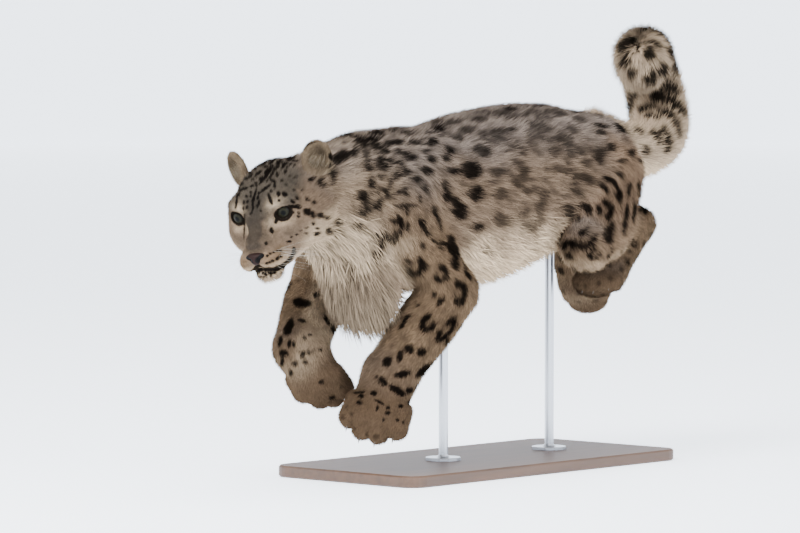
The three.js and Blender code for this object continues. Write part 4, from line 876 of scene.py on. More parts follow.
    (244.3, 226, 11, 0.6, 88), (326, 185, 3, 1.6, -20),
    # more of the crown and chin
    (255.6, 165.7, 2, 0.9, 30), (260.7, 176.9, 2.2, 1, 50), (266.8, 170.8, 3.1, 1.1, 50),
    (271.4, 165.7, 2.7, 1.1, 50), (263.8, 162.6, 3.1, 1, 35), (268.4, 153.9, 3.1, 1, 40),
    (274, 150.4, 3.5, 1.1, 35), (280.1, 150.4, 3.1, 1, 30), (287.2, 145.3, 2.7, 0.9, 15),
    (282.1, 165.7, 2, 0.9, 60), (288.3, 165.7, 1.6, 0.8, 20), (291.3, 162.6, 2, 0.8, 0),
    (295.4, 163.6, 1.4, 0.7, 0), (269.9, 176.9, 1.4, 0.9, 0), (266.8, 180, 1.2, 0.8, 0),
    (251.5, 185.1, 2, 0.9, 30), (241.3, 183, 2.4, 1, 20), (240.3, 189.1, 1.6, 1, 0),
    (237.8, 194.2, 2.7, 0.9, 60), (290.3, 174.9, 1, 0.7, 0), (296.4, 175.9, 1.4, 0.7, 0),
    (282.1, 180, 1.4, 0.8, 0), (287.2, 184, 1.4, 0.7, -30), (294.4, 189.1, 1.2, 0.6, 0),
    (302.6, 189.1, 1.4, 0.6, -20), (259.7, 269.8, 4.1, 1.4, -10), (268.9, 269.8, 5.1, 1.6, 5),
    (280.1, 268.2, 6.1, 1.8, 12), (255.6, 273.8, 1.6, 1.2, 0), (259.2, 278.4, 1.4, 0.9, 0),
    (264.3, 277.9, 1.4, 1, 0), (267.3, 278.9, 1.2, 0.9, 0), (270.9, 273.8, 1.6, 1, 0),
    (275, 272.8, 1.6, 1, 0), (262.8, 281, 1, 0.8, 0),
    # tail
    (625.3, 48.7, 11, 8, 90), (622.2, 66, 6, 4, 80), (651.8, 33.4, 10, 5, -25),
    (668.2, 41.5, 11, 3.6, -60), (654.9, 45.6, 8, 3.6, -10), (650.8, 55.8, 5, 5, 0),
    (667.1, 55.8, 9, 4.6, -20), (675.3, 63, 8, 3, -70), (662.5, 74, 16, 4.6, -8),
    (649.8, 81.3, 7, 4.6, 90), (671, 83, 10, 4, -30), (658, 93.6, 7, 5, -35), (674.3, 102.8, 11, 4.6, -45),
    (682.4, 110.9, 6, 4, -60), (632.4, 77.2, 4.6, 3.2, 70), (629.4, 93.6, 4.6, 3.6, 80),
    (626.3, 104.8, 8, 3, 75), (624.3, 114, 5, 3, 80), (648.8, 107.9, 10, 4, -5),
    (670.2, 117, 11, 5.4, -45), (651.8, 116, 8, 3, -5), (677.3, 129.3, 8, 4, -70),
    (668.2, 134.4, 9, 3.6, -65), (656.9, 136.4, 7, 5, -30), (667.1, 146.6, 6, 4.4, -50),
    (603.9, 125.2, 9, 3, -10), (623.3, 128.3, 11, 4.6, -12), (637.6, 132.3, 6, 4.4, 0),
    (629.4, 121.1, 6, 3, 0), (614, 146.6, 5, 4.4, 0), (632.4, 153.8, 6, 4.4, 20), (646.7, 151.7, 5, 4, 70),
    (625.3, 162, 5, 3, 0), (644.7, 162, 4.6, 3, 0),
]

# Ovals of the photograph that are filled from that list alone: middle, half width and half height.
MARKED = [
    (600, 190, 62, 62), (470, 235, 50, 40), (400, 205, 72, 70), (425, 300, 60, 45),
    (400, 380, 55, 60), (305, 340, 42, 75), (295, 200, 68, 75),
]


def picture_axes():
    """The camera's own directions to the right and up, its place, and the way it looks."""
    turn = np.array(CAMERA.rotation_euler.to_matrix())
    return turn[:, 0], turn[:, 1], np.array(CAMERA.location) * 1000, -turn[:, 2]


EYE_RIGHT, EYE_UP, EYE_AT, EYE_WAY = picture_axes()


def in_picture(p):
    """Places in the photograph, in its pixels, and how many millimetres one pixel is there."""
    d = p - EYE_AT
    depth = d @ EYE_WAY
    focal = PIXELS_PER_METRE * DISTANCE
    right = PHOTO[0] / 2 + focal * (d @ EYE_RIGHT) / depth
    down = PHOTO[1] / 2 - focal * (d @ EYE_UP) / depth
    return np.stack([right, down], axis=-1), depth / focal


def photo_marks():
    """The photograph's marks on the skin, drawn larger because the tips of the coat cover their edges."""
    seen, size = in_picture(SKIN)
    facing = -np.sum(NORMALS * unit(SKIN - EYE_AT), axis=1)
    depth = (SKIN - EYE_AT) @ EYE_WAY
    marks = []
    for x, y, long, wide, turn, *ring in PHOTO_MARKS:
        gap = np.hypot(*(seen - (x, y)).T)
        near = np.flatnonzero((gap < 7) & (facing > 0.05))
        if not len(near):
            continue
        near = near[depth[near] < depth[near].min() + 60]
        i = near[np.argmin(gap[near])]
        t = math.radians(turn)
        along = EYE_RIGHT * math.cos(t) + EYE_UP * math.sin(t)
        aside = EYE_UP * math.cos(t) - EYE_RIGHT * math.sin(t)
        shift = (EYE_RIGHT * (x - seen[i, 0]) + EYE_UP * (seen[i, 1] - y)) * size[i]
        share = dict(zip(KINDS, SHARE[i]))
        flank = share["torso"] * band(350 - SKIN[i, 0], 80, 160) * band(SKIN[i, 0], -150, -60)
        shoulder = np.clip(share["neck"] + share["torso"] * band(-SKIN[i, 0], 60, 150), 0, 1)
        grow = size[i] * (1.05 + 0.25 * share["head"] + 0.12 * shoulder + 0.3 * share["tail"])
        wide = wide * (1 + 0.25 * share["head"] + 0.6 * shoulder + 0.3 * share["tail"])
        place, phase, firm = SKIN[i] + shift, RNG.uniform(0, 6.28), 1 - 0.3 * flank
        marks.append((place, NORMALS[i], along, aside, long * grow, wide * grow, bool(ring), phase, firm))
    return marks


MARK_TRIES = 26000


def scatter_marks():
    """The photograph's marks, and others by rule wherever it shows none."""
    spacing, size, rings, stretch, strength = PLAN
    marks = photo_marks()
    seen, _ = in_picture(SKIN)
    facing = -np.sum(NORMALS * unit(SKIN - EYE_AT), axis=1)
    filled = np.zeros(len(SKIN), bool)
    for x, y, half_width, half_height in MARKED:
        filled |= ((seen[:, 0] - x) / half_width) ** 2 + ((seen[:, 1] - y) / half_height) ** 2 < 1
    filled &= facing > 0.12
    taken = np.array([m[0] for m in marks])
    gaps = np.array([max(m[4], m[5]) * 0.9 for m in marks])
    for i in RNG.permutation(len(SKIN))[:MARK_TRIES]:
        if strength[i] < 0.25 or filled[i]:
            continue
        if np.min(np.linalg.norm(taken - SKIN[i], axis=1) / (gaps + spacing[i])) < 0.46:
            continue
        taken = np.vstack([taken, SKIN[i]])
        gaps = np.append(gaps, spacing[i])
        ring = RNG.random() < rings[i]
        grow = RNG.uniform(0.8, 1.2) * (1.0 if ring or rings[i] < 0.3 else 0.62)
        lie = unit(LIE[i] + 0.35 * RNG.normal(size=3))
        lie = unit(lie - NORMALS[i] * (lie @ NORMALS[i]))
        long, wide = size[i] * grow * stretch[i] ** 0.5, size[i] * grow / stretch[i] ** 0.5
        phase, firm = RNG.uniform(0, 6.28), strength[i] * RNG.uniform(0.85, 1.1)
        aside = np.cross(NORMALS[i], lie)
        marks.append((SKIN[i], NORMALS[i], lie, aside, long, wide, ring, phase, firm))
    return marks


MARKS = scatter_marks()

# How far above or below the skin, in millimetres, a mark still colours the coat.
MARK_DEPTH = 40


def darkness(p, n):
    """How dark the markings are at places, and how much of a ring's inside is there."""
    warp = np.stack([NOISE[0](p, 13), NOISE[1](p, 13), NOISE[2](p, 13)], axis=1)
    dark = np.zeros(len(p))
    inside = np.zeros(len(p))
    order = np.argsort(p[:, 0])
    sorted_x = p[order, 0]
    for centre, normal, along, aside, long, wide, ring, phase, strength in MARKS:
        through = np.cross(along, aside)
        reach = max(long, wide) * 1.6 + 3
        a, b = np.searchsorted(sorted_x, [centre[0] - reach - MARK_DEPTH, centre[0] + reach + MARK_DEPTH])
        at = order[a:b]
        d = p[at] - centre
        rise = d @ through
        near = (np.sum(d * d, axis=1) - rise * rise < reach * reach) & (np.abs(rise) < MARK_DEPTH)
        near &= n[at] @ normal > 0.1
        at, d = at[near], d[near]
        if not len(at):
            continue
        d = d + warp[at] * (min(long, wide) * 0.22 + 0.6)
        u, v = d @ along / long, d @ aside / wide
        far = np.sqrt(u * u + v * v)
        angle = np.arctan2(v, u)
        edge = 0.12 + 1.0 / max(long, wide)
        if ring:
            gap = band(np.sin(2.5 * angle + phase) + 0.9 * np.sin(angle + 2 * phase), -1.0, -0.35)
            value = band(0.40 + edge - np.abs(far - 0.8), 0, 2 * edge) * gap
            inside[at] = np.maximum(inside[at], band(1.0 - far, 0, 0.3) * strength)
        else:
            value = band(1 + edge - far, 0, 2 * edge)
        dark[at] = np.maximum(dark[at], value * strength)
    return dark, inside


TAIL_LENGTH, BAND_SPACING = 728, 47


def tail_rings(p):
    """How dark the tail's own bands are, the share of the way along, and the way out from its middle."""
    t, off, _ = TAIL.nearest(p)
    out = unit(off)
    down = out @ unit(vec(-0.2, 0, -1))
    run = t * TAIL_LENGTH + 9 * NOISE[3](p, 34)
    wave = np.sin(2 * math.pi * run / BAND_SPACING)
    breaks = NOISE[1](p + 200, 30)
    rings = band(wave + 0.45 * breaks, -0.05, 0.55)
    under = band(down, 0.25, 0.75) * band(-t, -0.5, -0.3)
    seen = band(-out @ unit(EYE_WAY), -0.6, -0.2) * band(t, 0.05, 0.12)
    return rings * (1 - 0.85 * under) * (1 - seen), t, out


# Colours of the parts of the coat, chosen so that the picture's tones match the photograph's.
COAT = {
    "back": linear(0.43, 0.385, 0.35),
    "flank": linear(0.44, 0.37, 0.305),
    "cream": linear(0.71, 0.62, 0.51),
    "tan": linear(0.385, 0.315, 0.245),
    "haunch": linear(0.45, 0.365, 0.29),
    "paw": linear(0.325, 0.26, 0.20),
    # The bib's colour: its pale fur darkened by painted shade, as it faces down and forward.
    "bib": linear(0.265, 0.23, 0.195),
    "tail": linear(0.58, 0.505, 0.42),
    "ear": linear(0.385, 0.33, 0.265),
    "crown": linear(0.25, 0.225, 0.195),
    "cheek": linear(0.40, 0.335, 0.275),
    "muzzle": linear(0.165, 0.148, 0.13),
    "pad": linear(0.40, 0.325, 0.25),
    "dark": linear(0.03, 0.024, 0.02),
}


def face_lines(p):
    """How dark the lids, the inner corners of the eyes and the lips are at places."""
    dark = np.zeros(len(p))
    for side in (LEFT, RIGHT):
        centre, (look, corner, up) = eye_frame(side)
        d = p - centre
        rim = np.hypot(d @ corner / 15, (d @ up + 1.4) / 11.4)
        tear = Groove([look * 12 - corner * 13 - up * 3, look * 14 - corner * 21 - up * 10], 3).field(d)
        lid = np.maximum(band(1.27 - rim, 0, 0.12), band(2 - tear, 0, 2))
        dark = np.maximum(dark, lid * (d @ look > 4) * (np.sum(d * d, axis=1) < 900))
    return np.maximum(dark, band(4.6 - lip_gap(p), 0, 2.2))


def lip_gap(p):
    """How far places are from the lips."""
    return np.min([groove.field(p) for groove, *_ in FACE_FORMS[6:]], axis=0)


def mix(a, b, share):
    """Colours between a and b."""
    return a + (b - a) * share[:, None]


def face_colour(p):
    """Colour of the coat of the face at places, without its markings."""
    f, a, u = head_place(p).T
    a = np.abs(a)
    ragged = 7 * NOISE[1](p, 12) + 4 * NOISE[0](p, 5)
    face = mix(COAT["cheek"] * np.ones((len(p), 1)), COAT["crown"], band(u + 0.25 * f + ragged, -8, 26))
    under_eye = np.exp(-(((f + 4) / 26) ** 2 + ((u + 32) / 13) ** 2 + ((a - 44) / 20) ** 2))
    face = mix(face, COAT["muzzle"], under_eye * 0.55)
    bridge = band(34 - a + ragged, 0, 26) * band(f, -14, 24) * band(u, -54, -30)
    face = mix(face, COAT["muzzle"], bridge * 0.85)
    face = mix(face, COAT["pad"], band(-u, 42, 52) * band(f, 16, 30) * band(a, 8, 20) * 0.8)
    white = np.maximum(band(-u - 0.15 * a, 64, 76), band(-u, 60, 70) * band(f, 20, 34) * 0.7)
    around = np.exp(-(((f + 2) / 24) ** 2 + ((u + 16) / 7) ** 2 + ((a - 40) / 14) ** 2))
    above = np.exp(-(((u - 20) / 9) ** 2 + ((a - 34) / 13) ** 2)) * band(f, -34, -16)
    corner = np.exp(-(((u + 12) / 12) ** 2 + ((a - 23) / 5) ** 2)) * band(f, -8, 6)
    pale = np.clip(0.62 * white + 0.5 * around + 0.5 * above + 0.45 * corner, 0, 1)
    face = mix(face, COAT["cream"], pale)
    below = np.interp(a, [at[1] for at in LIP], [at[2] for at in LIP]) - u
    lower = band(f, 2, 12) * (a < 46)
    chin = lower * band(below, 0, 2) * (band(9 - below, 0, 6) * 0.85)
    spots = lower * band(below, 2, 6) * band(30 - below, 0, 12) * band(NOISE[2](p, 4.6), 0.0, 0.3) * 0.85
    face = mix(face, COAT["dark"], np.maximum(chin, spots))
    jowl = band(-u, 22, 46) * band(-f, -4, 22) * band(a, 34, 54)
    face = mix(face, COAT["cream"], jowl * 0.6)
    return face


def coat_colour(p, n, share, bib):
    """Colour of the coat at places, markings included, with painted shade on the bib, under the neck and in
    the ear cups.
    """
    torso, neck, tail, arm, paw, thigh, shank, head, ear = share.T
    side = 0.12 * NOISE[2](p, 60) + 0.06 * NOISE[0](p, 24)
    height = n[:, 2] + side
    base = mix(COAT["flank"] * np.ones((len(p), 1)), COAT["back"], band(height, 0.1, 0.75))
    base = mix(base, COAT["cream"], band(-height, 0.12, 0.62))
    haunch = np.clip(thigh + torso * band(p[:, 0], 200, 300), 0, 1)
    base = mix(base, COAT["haunch"], haunch * band(0.75 - height, 0, 0.4) * 0.8)
    inner = band(np.sign(p[:, 1]) * -n[:, 1] + side, 0.3, 0.7)
    base = mix(base, COAT["tan"], np.clip(arm + shank, 0, 1))
    base = mix(base, COAT["cream"], (arm + thigh + shank) * inner * 0.6)
    base = mix(base, COAT["paw"], paw)
    # Painted shade on the bib and on the neck where it faces down and forward.
    base = mix(base, COAT["bib"], bib * 0.95)
    base = mix(base, COAT["bib"], neck * band(-height - 0.3 * n[:, 0], 0.15, 0.7) * 0.45)
    base = mix(base, COAT["cream"], neck * 0.16)
    base = mix(base, face_colour(p), head)
    base = mix(base, COAT["ear"], ear)
    # Painted shade in the cup of each ear, deeper towards its outer side.
    for side in (LEFT, RIGHT):
        centre, (facing, width, rise) = ear_frame(side)
        d = p - centre - 12 * facing
        within = 1 - np.hypot(d @ width / 24, d @ rise / 30)
        outer = band(d @ HEAD_LEFT * -side, -14, 8)
        cup = ear * band(within, 0.0, 0.5) * (n @ facing > 0.1) * (0.35 + 0.6 * outer)
        base = mix(base, COAT["ear"] * 0.3, cup)
    dark, inside = darkness(p, n)
    face_at = np.flatnonzero((head > 0.3) & (head_place(p)[:, 0] > -40))
    dark[face_at] = np.maximum(dark[face_at], face_lines(p[face_at]))
    rings, t, out = tail_rings(p)
    under = band(out @ vec(0, 0, -1), 0.2, 0.8) * band(-t, -0.5, -0.25)
    base = mix(base, mix(COAT["tail"] * np.ones((len(p), 1)), COAT["cream"], under), tail)
    base = base * (1 - 0.28 * inside[:, None])
    dark = np.maximum(dark, rings * tail * 0.93)
    streak = NOISE[3](p, 9) * 0.14 + NOISE[0](p * (1, 1, 2.2), 21) * 0.20 * (torso + neck)
    streak += head * (0.13 * NOISE[0](p, 2.8) + 0.15 * NOISE[1](p, 5.5))
    base = base * (1 + streak)[:, None]
    fleck = band(NOISE[1](p * (0.6, 1, 1.3), 9) + 0.8 * NOISE[2](p, 21), 0.1, 0.75)
    fleck = fleck * (torso + neck) * (1 - bib) * band(height, -0.5, -0.05)
    base = mix(base, COAT["dark"], np.clip(fleck, 0, 1) * 0.5)
    spine = band(n[:, 2], 0.84, 0.97) * (torso + neck) * (0.75 + 0.5 * NOISE[3](p, 26))
    base = mix(base, COAT["dark"], np.clip(spine, 0, 1) * 0.4)
    return mix(base, COAT["dark"], np.clip(dark, 0, 0.97))


# The coat
def coat_plan(p, n, share, bib):
    """Length, width, rise from the skin, droop and number per square metre of the tufts."""
    torso, neck, tail, arm, paw, thigh, shank, head, ear = share.T
    under = (torso + neck) * band(-n[:, 2], 0.1, 0.6)
    top = torso * band(n[:, 2], 0.3, 0.8)
    f, a, u = head_place(p).T
    a = np.abs(a)
    fore = head * band(f, -52, 20)
    ruff = head * band(-f, 44, 72) * band(-u, -12, 22)
    chin = head * band(-u, 86, 97) * band(f, 6, 18)
    rows = [
        # share, length, width, rise, droop, number
        (torso - under * torso - top, 25, 2.3, 0.33, 0.25, 170),
        (top, 22, 2.3, 0.30, 0.05, 175),
        (neck * (1 - under), 21, 2.1, 0.33, 0.30, 230),
        (under, 50, 2.8, 0.38, 0.60, 100),
        (bib * 2.0, 84, 2.4, 0.36, 0.85, 150),
        (tail, 30, 2.6, 0.40, 0.0, 180),
        (arm, 14, 2.0, 0.32, 0.1, 255),
        (thigh, 24, 2.4, 0.32, 0.2, 200),
        (shank, 12, 2.0, 0.32, 0.05, 255),
        (paw, 8, 1.7, 0.32, 0.05, 370),
        (np.maximum(head - fore - ruff, 0), 10, 1.7, 0.33, 0.1, 400),
        (fore * (1 - chin), 5.0, 1.2, 0.28, 0.0, 640),
        (chin * 2.0, 13, 1.3, 0.42, 0.5, 560),
        (ruff, 26, 2.3, 0.34, 0.35, 250),
        (ear, 6, 1.4, 0.28, 0.0, 480),
    ]
    weights = np.stack([np.maximum(row[0], 0) for row in rows], axis=1) + 1e-6
    weights /= weights.sum(axis=1, keepdims=True)
    return weights @ np.array([row[1:] for row in rows])


COAT_PLAN = coat_plan(SKIN, NORMALS, SHARE, BIB_SHARE)
DENSITY = 1.0


def eye_clear(p):
    """How far places are from the openings of the eyes."""
    eyes = [eye_frame(side) for side in (LEFT, RIGHT)]
    return np.minimum(*(np.linalg.norm(p - (c + axes[0] * EYE["radius"]), axis=1) for c, axes in eyes))


def roots():
    """Tuft roots scattered over the skin: triangle and barycentric place of each."""
    a, b, c = (SKIN[FACES[:, k]] for k in range(3))
    area = np.linalg.norm(np.cross(b - a, c - a), axis=1) / 2e6
    number = COAT_PLAN[FACES, 4].mean(axis=1) * 1000 * DENSITY
    middle = (a + b + c) / 3
    bare = (eye_clear(middle) < 15) | (lip_gap(middle) < 1.6) | (skin_field(middle, NOSE_FORMS) < 1.5)
    expected = np.where(bare, 0, area * number)
    count = RNG.poisson(expected)
    triangle = np.repeat(np.arange(len(FACES)), count)
    u, v = RNG.random((2, len(triangle)))
    u, v = np.where(u + v > 1, 1 - u, u), np.where(u + v > 1, 1 - v, v)
    return triangle, np.stack([1 - u - v, u, v], axis=1)


ROOT_FACE, ROOT_PLACE = roots()


def at_roots(values):
    return np.einsum("ij,ij...->i...", ROOT_PLACE, values[FACES[ROOT_FACE]])


# A bent tuft has a ring of three at the root, one half way and a tip; a straight one has no second ring.
BENT_LENGTH = 33
BENT_FACES = [
    [0, 2, 1], [0, 1, 4], [0, 4, 3], [1, 2, 5], [1, 5, 4],
    [2, 0, 3], [2, 3, 5], [3, 4, 6], [4, 5, 6], [5, 3, 6],
]
STRAIGHT_FACES = [[0, 2, 1], [0, 1, 3], [1, 2, 3], [2, 0, 3]]


# How much of the coat's colour is left at the roots of tufts and on the skin between them: painted shade
# deep in the coat.
ROOT_PAINTED_SHADE, SKIN_PAINTED_SHADE = 0.46, 0.62


def build_tufts():
    """The tufts' points, colours and shading normals: a ring at the root, a ring half way, and the tip."""
    p, n, lie = at_roots(SKIN), unit(at_roots(NORMALS)), at_roots(LIE)
    share, bib, plan = at_roots(SHARE), at_roots(BIB_SHARE), at_roots(COAT_PLAN)
    count = len(p)
    length = plan[:, 0] * RNG.uniform(0.72, 1.22, count)
    width = plan[:, 1] * RNG.uniform(0.75, 1.3, count)
    rise = plan[:, 2] * RNG.uniform(0.35, 1.75, count)
    droop = plan[:, 3]
    clump = np.stack([noise(p, 19) for noise in NOISE[:3]], axis=1)
    lie = lie + 0.36 * clump + 0.16 * RNG.normal(size=(count, 3))
    lie = unit(lie - n * np.sum(lie * n, axis=1, keepdims=True))
    first = unit(lie * np.cos(rise)[:, None] + n * np.sin(rise)[:, None])
    second = unit(first - 0.62 * n * np.sin(rise)[:, None] + droop[:, None] * vec(0, 0, -0.5))
    short = plan[:, 0] < BENT_LENGTH
    second[short] = first[short]
    a = p - n * 1.5 - first * 1.0
    b = p + first * length[:, None] * 0.5
    c = b + second * length[:, None] * 0.5
    side = unit(np.cross(n, first))
    lift = unit(np.cross(first, side))
    w, t = width[:, None] / 2, width[:, None] * 0.16

    def ring(q, s):
        return [q - side * w * s - lift * t, q + side * w * s - lift * t, q + lift * t * 1.6]

    vertices = np.stack([*ring(a, 0.8), *ring(b, 0.85), c], axis=1)
    soft = unit(n * 0.9 + first * 0.15)
    across_by = [-0.75, 0.75, 0, -0.6, 0.6, 0, 0]
    normals = np.stack([unit(soft + side * k) for k in across_by], axis=1)
    middle = coat_colour(b, n, share, bib)
    tip = coat_colour(c, n, share, bib)
    coarse = np.clip(1 - kind(share, "head") - kind(share, "paw"), 0, 1)[:, None]
    vary = 1 + RNG.uniform(-1, 1, (count, 1)) * (0.17 + 0.15 * coarse)
    rough = NOISE[1](p + 300, 7)[:, None] + 0.7 * NOISE[0](p, 14)[:, None]
    vary *= 1 + 0.3 * coarse * (1 - 0.6 * bib[:, None]) * rough
    # Painted shade: each tuft darkened towards its root; its tip is lighter.
    root = middle * (ROOT_PAINTED_SHADE + 0.26 * bib + 0.3 * kind(share, "tail"))[:, None]
    rows = [root, root, root, middle * 0.92, middle * 0.92, middle * 0.92, tip * 1.18]
    colours = np.stack(rows, axis=1) * vary[:, None]
    return vertices, colours, normals, share, short


TUFTS = build_tufts()


# Materials
def material(name, colour=(0.5, 0.5, 0.5), roughness=0.6, **values):
    m = bpy.data.materials.new(name)
    m.use_nodes = True
    shader = m.node_tree.nodes["Principled BSDF"]
    shader.inputs["Base Color"].default_value = (*colour, 1)
    shader.inputs["Roughness"].default_value = roughness
    for key, value in values.items():
        shader.inputs[key.replace("_", " ")].default_value = value
    return m, m.node_tree.nodes, m.node_tree.links, shader


def add_node(nodes, kind, **inputs):
    """A shader node, with values for some of its inputs."""
    node = nodes.new(f"ShaderNode{kind}")
    for key, value in inputs.items():
        node.inputs[key.replace("_", " ")].default_value = value
    return node


def coat_material(name, roughness, fine, bump):
    """The colours of the points, broken up by fine noise."""
    m, nodes, links, shader = material(name, roughness=roughness, Specular_IOR_Level=0.0)
    colour = add_node(nodes, "Attribute")
    colour.attribute_name = "Col"
    where = add_node(nodes, "TexCoord")
    noise = add_node(nodes, "TexNoise", Scale=fine, Detail=2.0)
    links.new(where.outputs["Object"], noise.inputs["Vector"])
    level = add_node(nodes, "MapRange", From_Min=0.3, From_Max=0.7, To_Min=0.82, To_Max=1.14)
    links.new(noise.outputs["Fac"], level.inputs["Value"])
    product = add_node(nodes, "VectorMath")
    product.operation = "SCALE"
    links.new(colour.outputs["Color"], product.inputs[0])
    links.new(level.outputs["Result"], product.inputs["Scale"])
    links.new(product.outputs["Vector"], shader.inputs["Base Color"])
    if bump:
        relief = add_node(nodes, "Bump", Strength=bump, Distance=0.002)
        links.new(noise.outputs["Fac"], relief.inputs["Height"])
        links.new(relief.outputs["Normal"], shader.inputs["Normal"])
    return m


SKIN_LOOK = coat_material("coat_under", 0.9, 420.0, 0.6)
HAIR_LOOK = coat_material("coat_hair", 0.75, 700.0, 0.0)


def colour_points(piece, colours):
    layer = piece.data.color_attributes.new("Col", "FLOAT_COLOR", "POINT")
    rgba = np.ones((len(colours), 4), np.float32)
    rgba[:, :3] = np.clip(colours, 0, 1)
    layer.data.foreach_set("color", rgba.ravel())


def finish_piece(piece, look, slot, *nodes):
    piece.data.materials.append(look)
    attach(piece, "root")
    if nodes:
        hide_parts(*nodes)


# The pieces of skin and coat
FLESH = [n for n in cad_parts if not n.startswith(("stand", "eye", "nose"))]


def unwrap(piece):
    """An unwrap of the skin's own shape, as UV places of each triangle's corners."""
    bpy.ops.object.select_all(action="DESELECT")
    piece.select_set(True)
    bpy.context.view_layer.objects.active = piece
    piece.data.uv_layers.new(name="OFBake")
    bpy.ops.object.mode_set(mode="EDIT")
    bpy.ops.mesh.select_all(action="SELECT")
    bpy.ops.uv.smart_project(angle_limit=math.radians(72), island_margin=0.002)
    bpy.ops.object.mode_set(mode="OBJECT")
    places = np.empty(len(piece.data.loops) * 2, np.float32)
    piece.data.uv_layers["OFBake"].data.foreach_get("uv", places)
    return places.reshape(-1, 3, 2)


SKIN_PIECE = mesh_object("coat_skin", SKIN, FACES)
SKIN_UV = unwrap(SKIN_PIECE)


def skin_colours():
    colour = coat_colour(SKIN, NORMALS, SHARE, BIB_SHARE)
    # Painted shade on the skin between the tufts, less on the head and tail.
    colour *= (SKIN_PAINTED_SHADE + 0.3 * kind(SHARE, "head") + 0.2 * kind(SHARE, "tail"))[:, None]
    return colour


colour_points(SKIN_PIECE, skin_colours())
finish_piece(SKIN_PIECE, SKIN_LOOK, "coat", *FLESH)

# The most triangles in one piece, and the size of a tuft's patch of the UV map.
PIECE_LIMIT, PATCH = 190000, 0.003
TUFT_GROUPS = [
    ("head", ("head", "ear")),
    ("trunk", ("torso", "neck")),
    ("tail", ("tail",)),
    ("legs", ("arm", "thigh", "shank", "paw")),
]


def rows_of(values, chosen, rows):
    return values[chosen][:, rows].reshape(-1, values.shape[-1])


def coat_pieces():
    """The tufts as pieces of the coat, bent ones and straight ones of each part of the body apart."""
    vertices, colours, normals, share, short = TUFTS
    amounts = [sum(kind(share, k) for k in kinds) for _, kinds in TUFT_GROUPS]
    group = np.stack(amounts, axis=1).argmax(axis=1)
    uv_root = np.einsum("ij,ijk->ik", ROOT_PLACE, SKIN_UV[ROOT_FACE])
    patch = np.array([[0, 0], [1, 0], [0.5, 0.3], [0, 0.6], [1, 0.6], [0.5, 0.8], [0.5, 1]])
    patch = patch * PATCH - PATCH / 2
    for g, (label, _) in enumerate(TUFT_GROUPS):
        for shape, straight in (("long", False), ("short", True)):
            members = np.flatnonzero((group == g) & (short == straight))
            if not len(members):
                continue
            members = members[np.argsort(vertices[members, 0, 0])]
            tris = np.array(STRAIGHT_FACES if straight else BENT_FACES)
            rows = [0, 1, 2, 6] if straight else list(range(7))
            pieces = math.ceil(len(members) * len(tris) / PIECE_LIMIT)
            for part, chosen in enumerate(np.array_split(members, pieces)):
                faces = (np.arange(len(chosen))[:, None, None] * len(rows) + tris[None]).reshape(-1, 3)
                points = rows_of(vertices, chosen, rows)
                piece = mesh_object(f"coat_{label}_{shape}_{part + 1}", points, faces)
                colour_points(piece, rows_of(colours, chosen, rows))
                shading = piece.data.attributes.new("custom_normal", "FLOAT_VECTOR", "POINT")
                directions = rows_of(normals, chosen, rows).astype(np.float32)
                shading.data.foreach_set("vector", directions.ravel())
                places = (uv_root[chosen][:, None, :] + patch[rows][None]).reshape(-1, 2)
                layer = piece.data.uv_layers.new(name="OFBake")
                layer.data.foreach_set("uv", places[faces.ravel()].astype(np.float32).ravel())
                finish_piece(piece, HAIR_LOOK, "coat")


coat_pieces()

# The eyes
def eye_material():
    """Pupil, iris and rim, as rings of colour about the way the eye looks."""
    gloss = {"Coat_Weight": 0.05, "Coat_Roughness": 0.03, "Specular_IOR_Level": 0.02}
    m, nodes, links, shader = material("eye_ball", roughness=0.3, **gloss)
    where = add_node(nodes, "TexCoord")
    parts = add_node(nodes, "SeparateXYZ")
    links.new(where.outputs["Object"], parts.inputs["Vector"])
    flat = add_node(nodes, "CombineXYZ")
    links.new(parts.outputs["Y"], flat.inputs["X"])
    links.new(parts.outputs["Z"], flat.inputs["Y"])
    size = add_node(nodes, "VectorMath")
    size.operation = "LENGTH"
    links.new(flat.outputs["Vector"], size.inputs[0])
    streaks = add_node(nodes, "TexNoise", Scale=500.0)
    links.new(flat.outputs["Vector"], streaks.inputs["Vector"])
    blur = add_node(nodes, "Math")
    blur.operation = "MULTIPLY_ADD"
    blur.inputs[1].default_value = 0.0012
    links.new(streaks.outputs["Fac"], blur.inputs[0])
    links.new(size.outputs["Value"], blur.inputs[2])
    scaled = add_node(nodes, "Math")
    scaled.operation = "MULTIPLY"
    scaled.inputs[1].default_value = 50.0
    links.new(blur.outputs["Value"], scaled.inputs[0])
    ramp = add_node(nodes, "ValToRGB")
    stops = [
        (0.0, linear(0.01, 0.01, 0.01)),
        (0.19, linear(0.01, 0.01, 0.01)),
        (0.25, linear(0.06, 0.057, 0.042)),
        (0.35, linear(0.115, 0.11, 0.078)),
        (0.52, linear(0.07, 0.067, 0.047)),
        (0.58, linear(0.03, 0.025, 0.025)),
        (0.72, linear(0.03, 0.025, 0.025)),
    ]
    elements = ramp.color_ramp.elements
    elements[0].position, elements[1].position = stops[0][0], stops[-1][0]
    for place, _ in stops[1:-1]:
        elements.new(place)
    for element, (_, colour) in zip(elements, stops):
        element.color = (*colour, 1)
    links.new(scaled.outputs["Value"], ramp.inputs["Fac"])
    links.new(ramp.outputs["Color"], shader.inputs["Base Color"])
    return m


EYE_LOOK = eye_material()
for node, side in (("eye_left", LEFT), ("eye_right", RIGHT)):
    centre, (look, corner, up) = eye_frame(side)
    bpy.ops.mesh.primitive_uv_sphere_add(segments=48, ring_count=24, radius=EYE["radius"] / 1000)
    ball = bpy.context.object
    ball.name = f"eyeball_{'left' if side == LEFT else 'right'}"
    bpy.ops.object.shade_smooth()
    turn = Matrix([[look[k], corner[k], up[k]] for k in range(3)])
    ball.matrix_world = Matrix.Translation(Vector(centre / 1000)) @ turn.to_4x4()
    finish_piece(ball, EYE_LOOK, "eye", node)

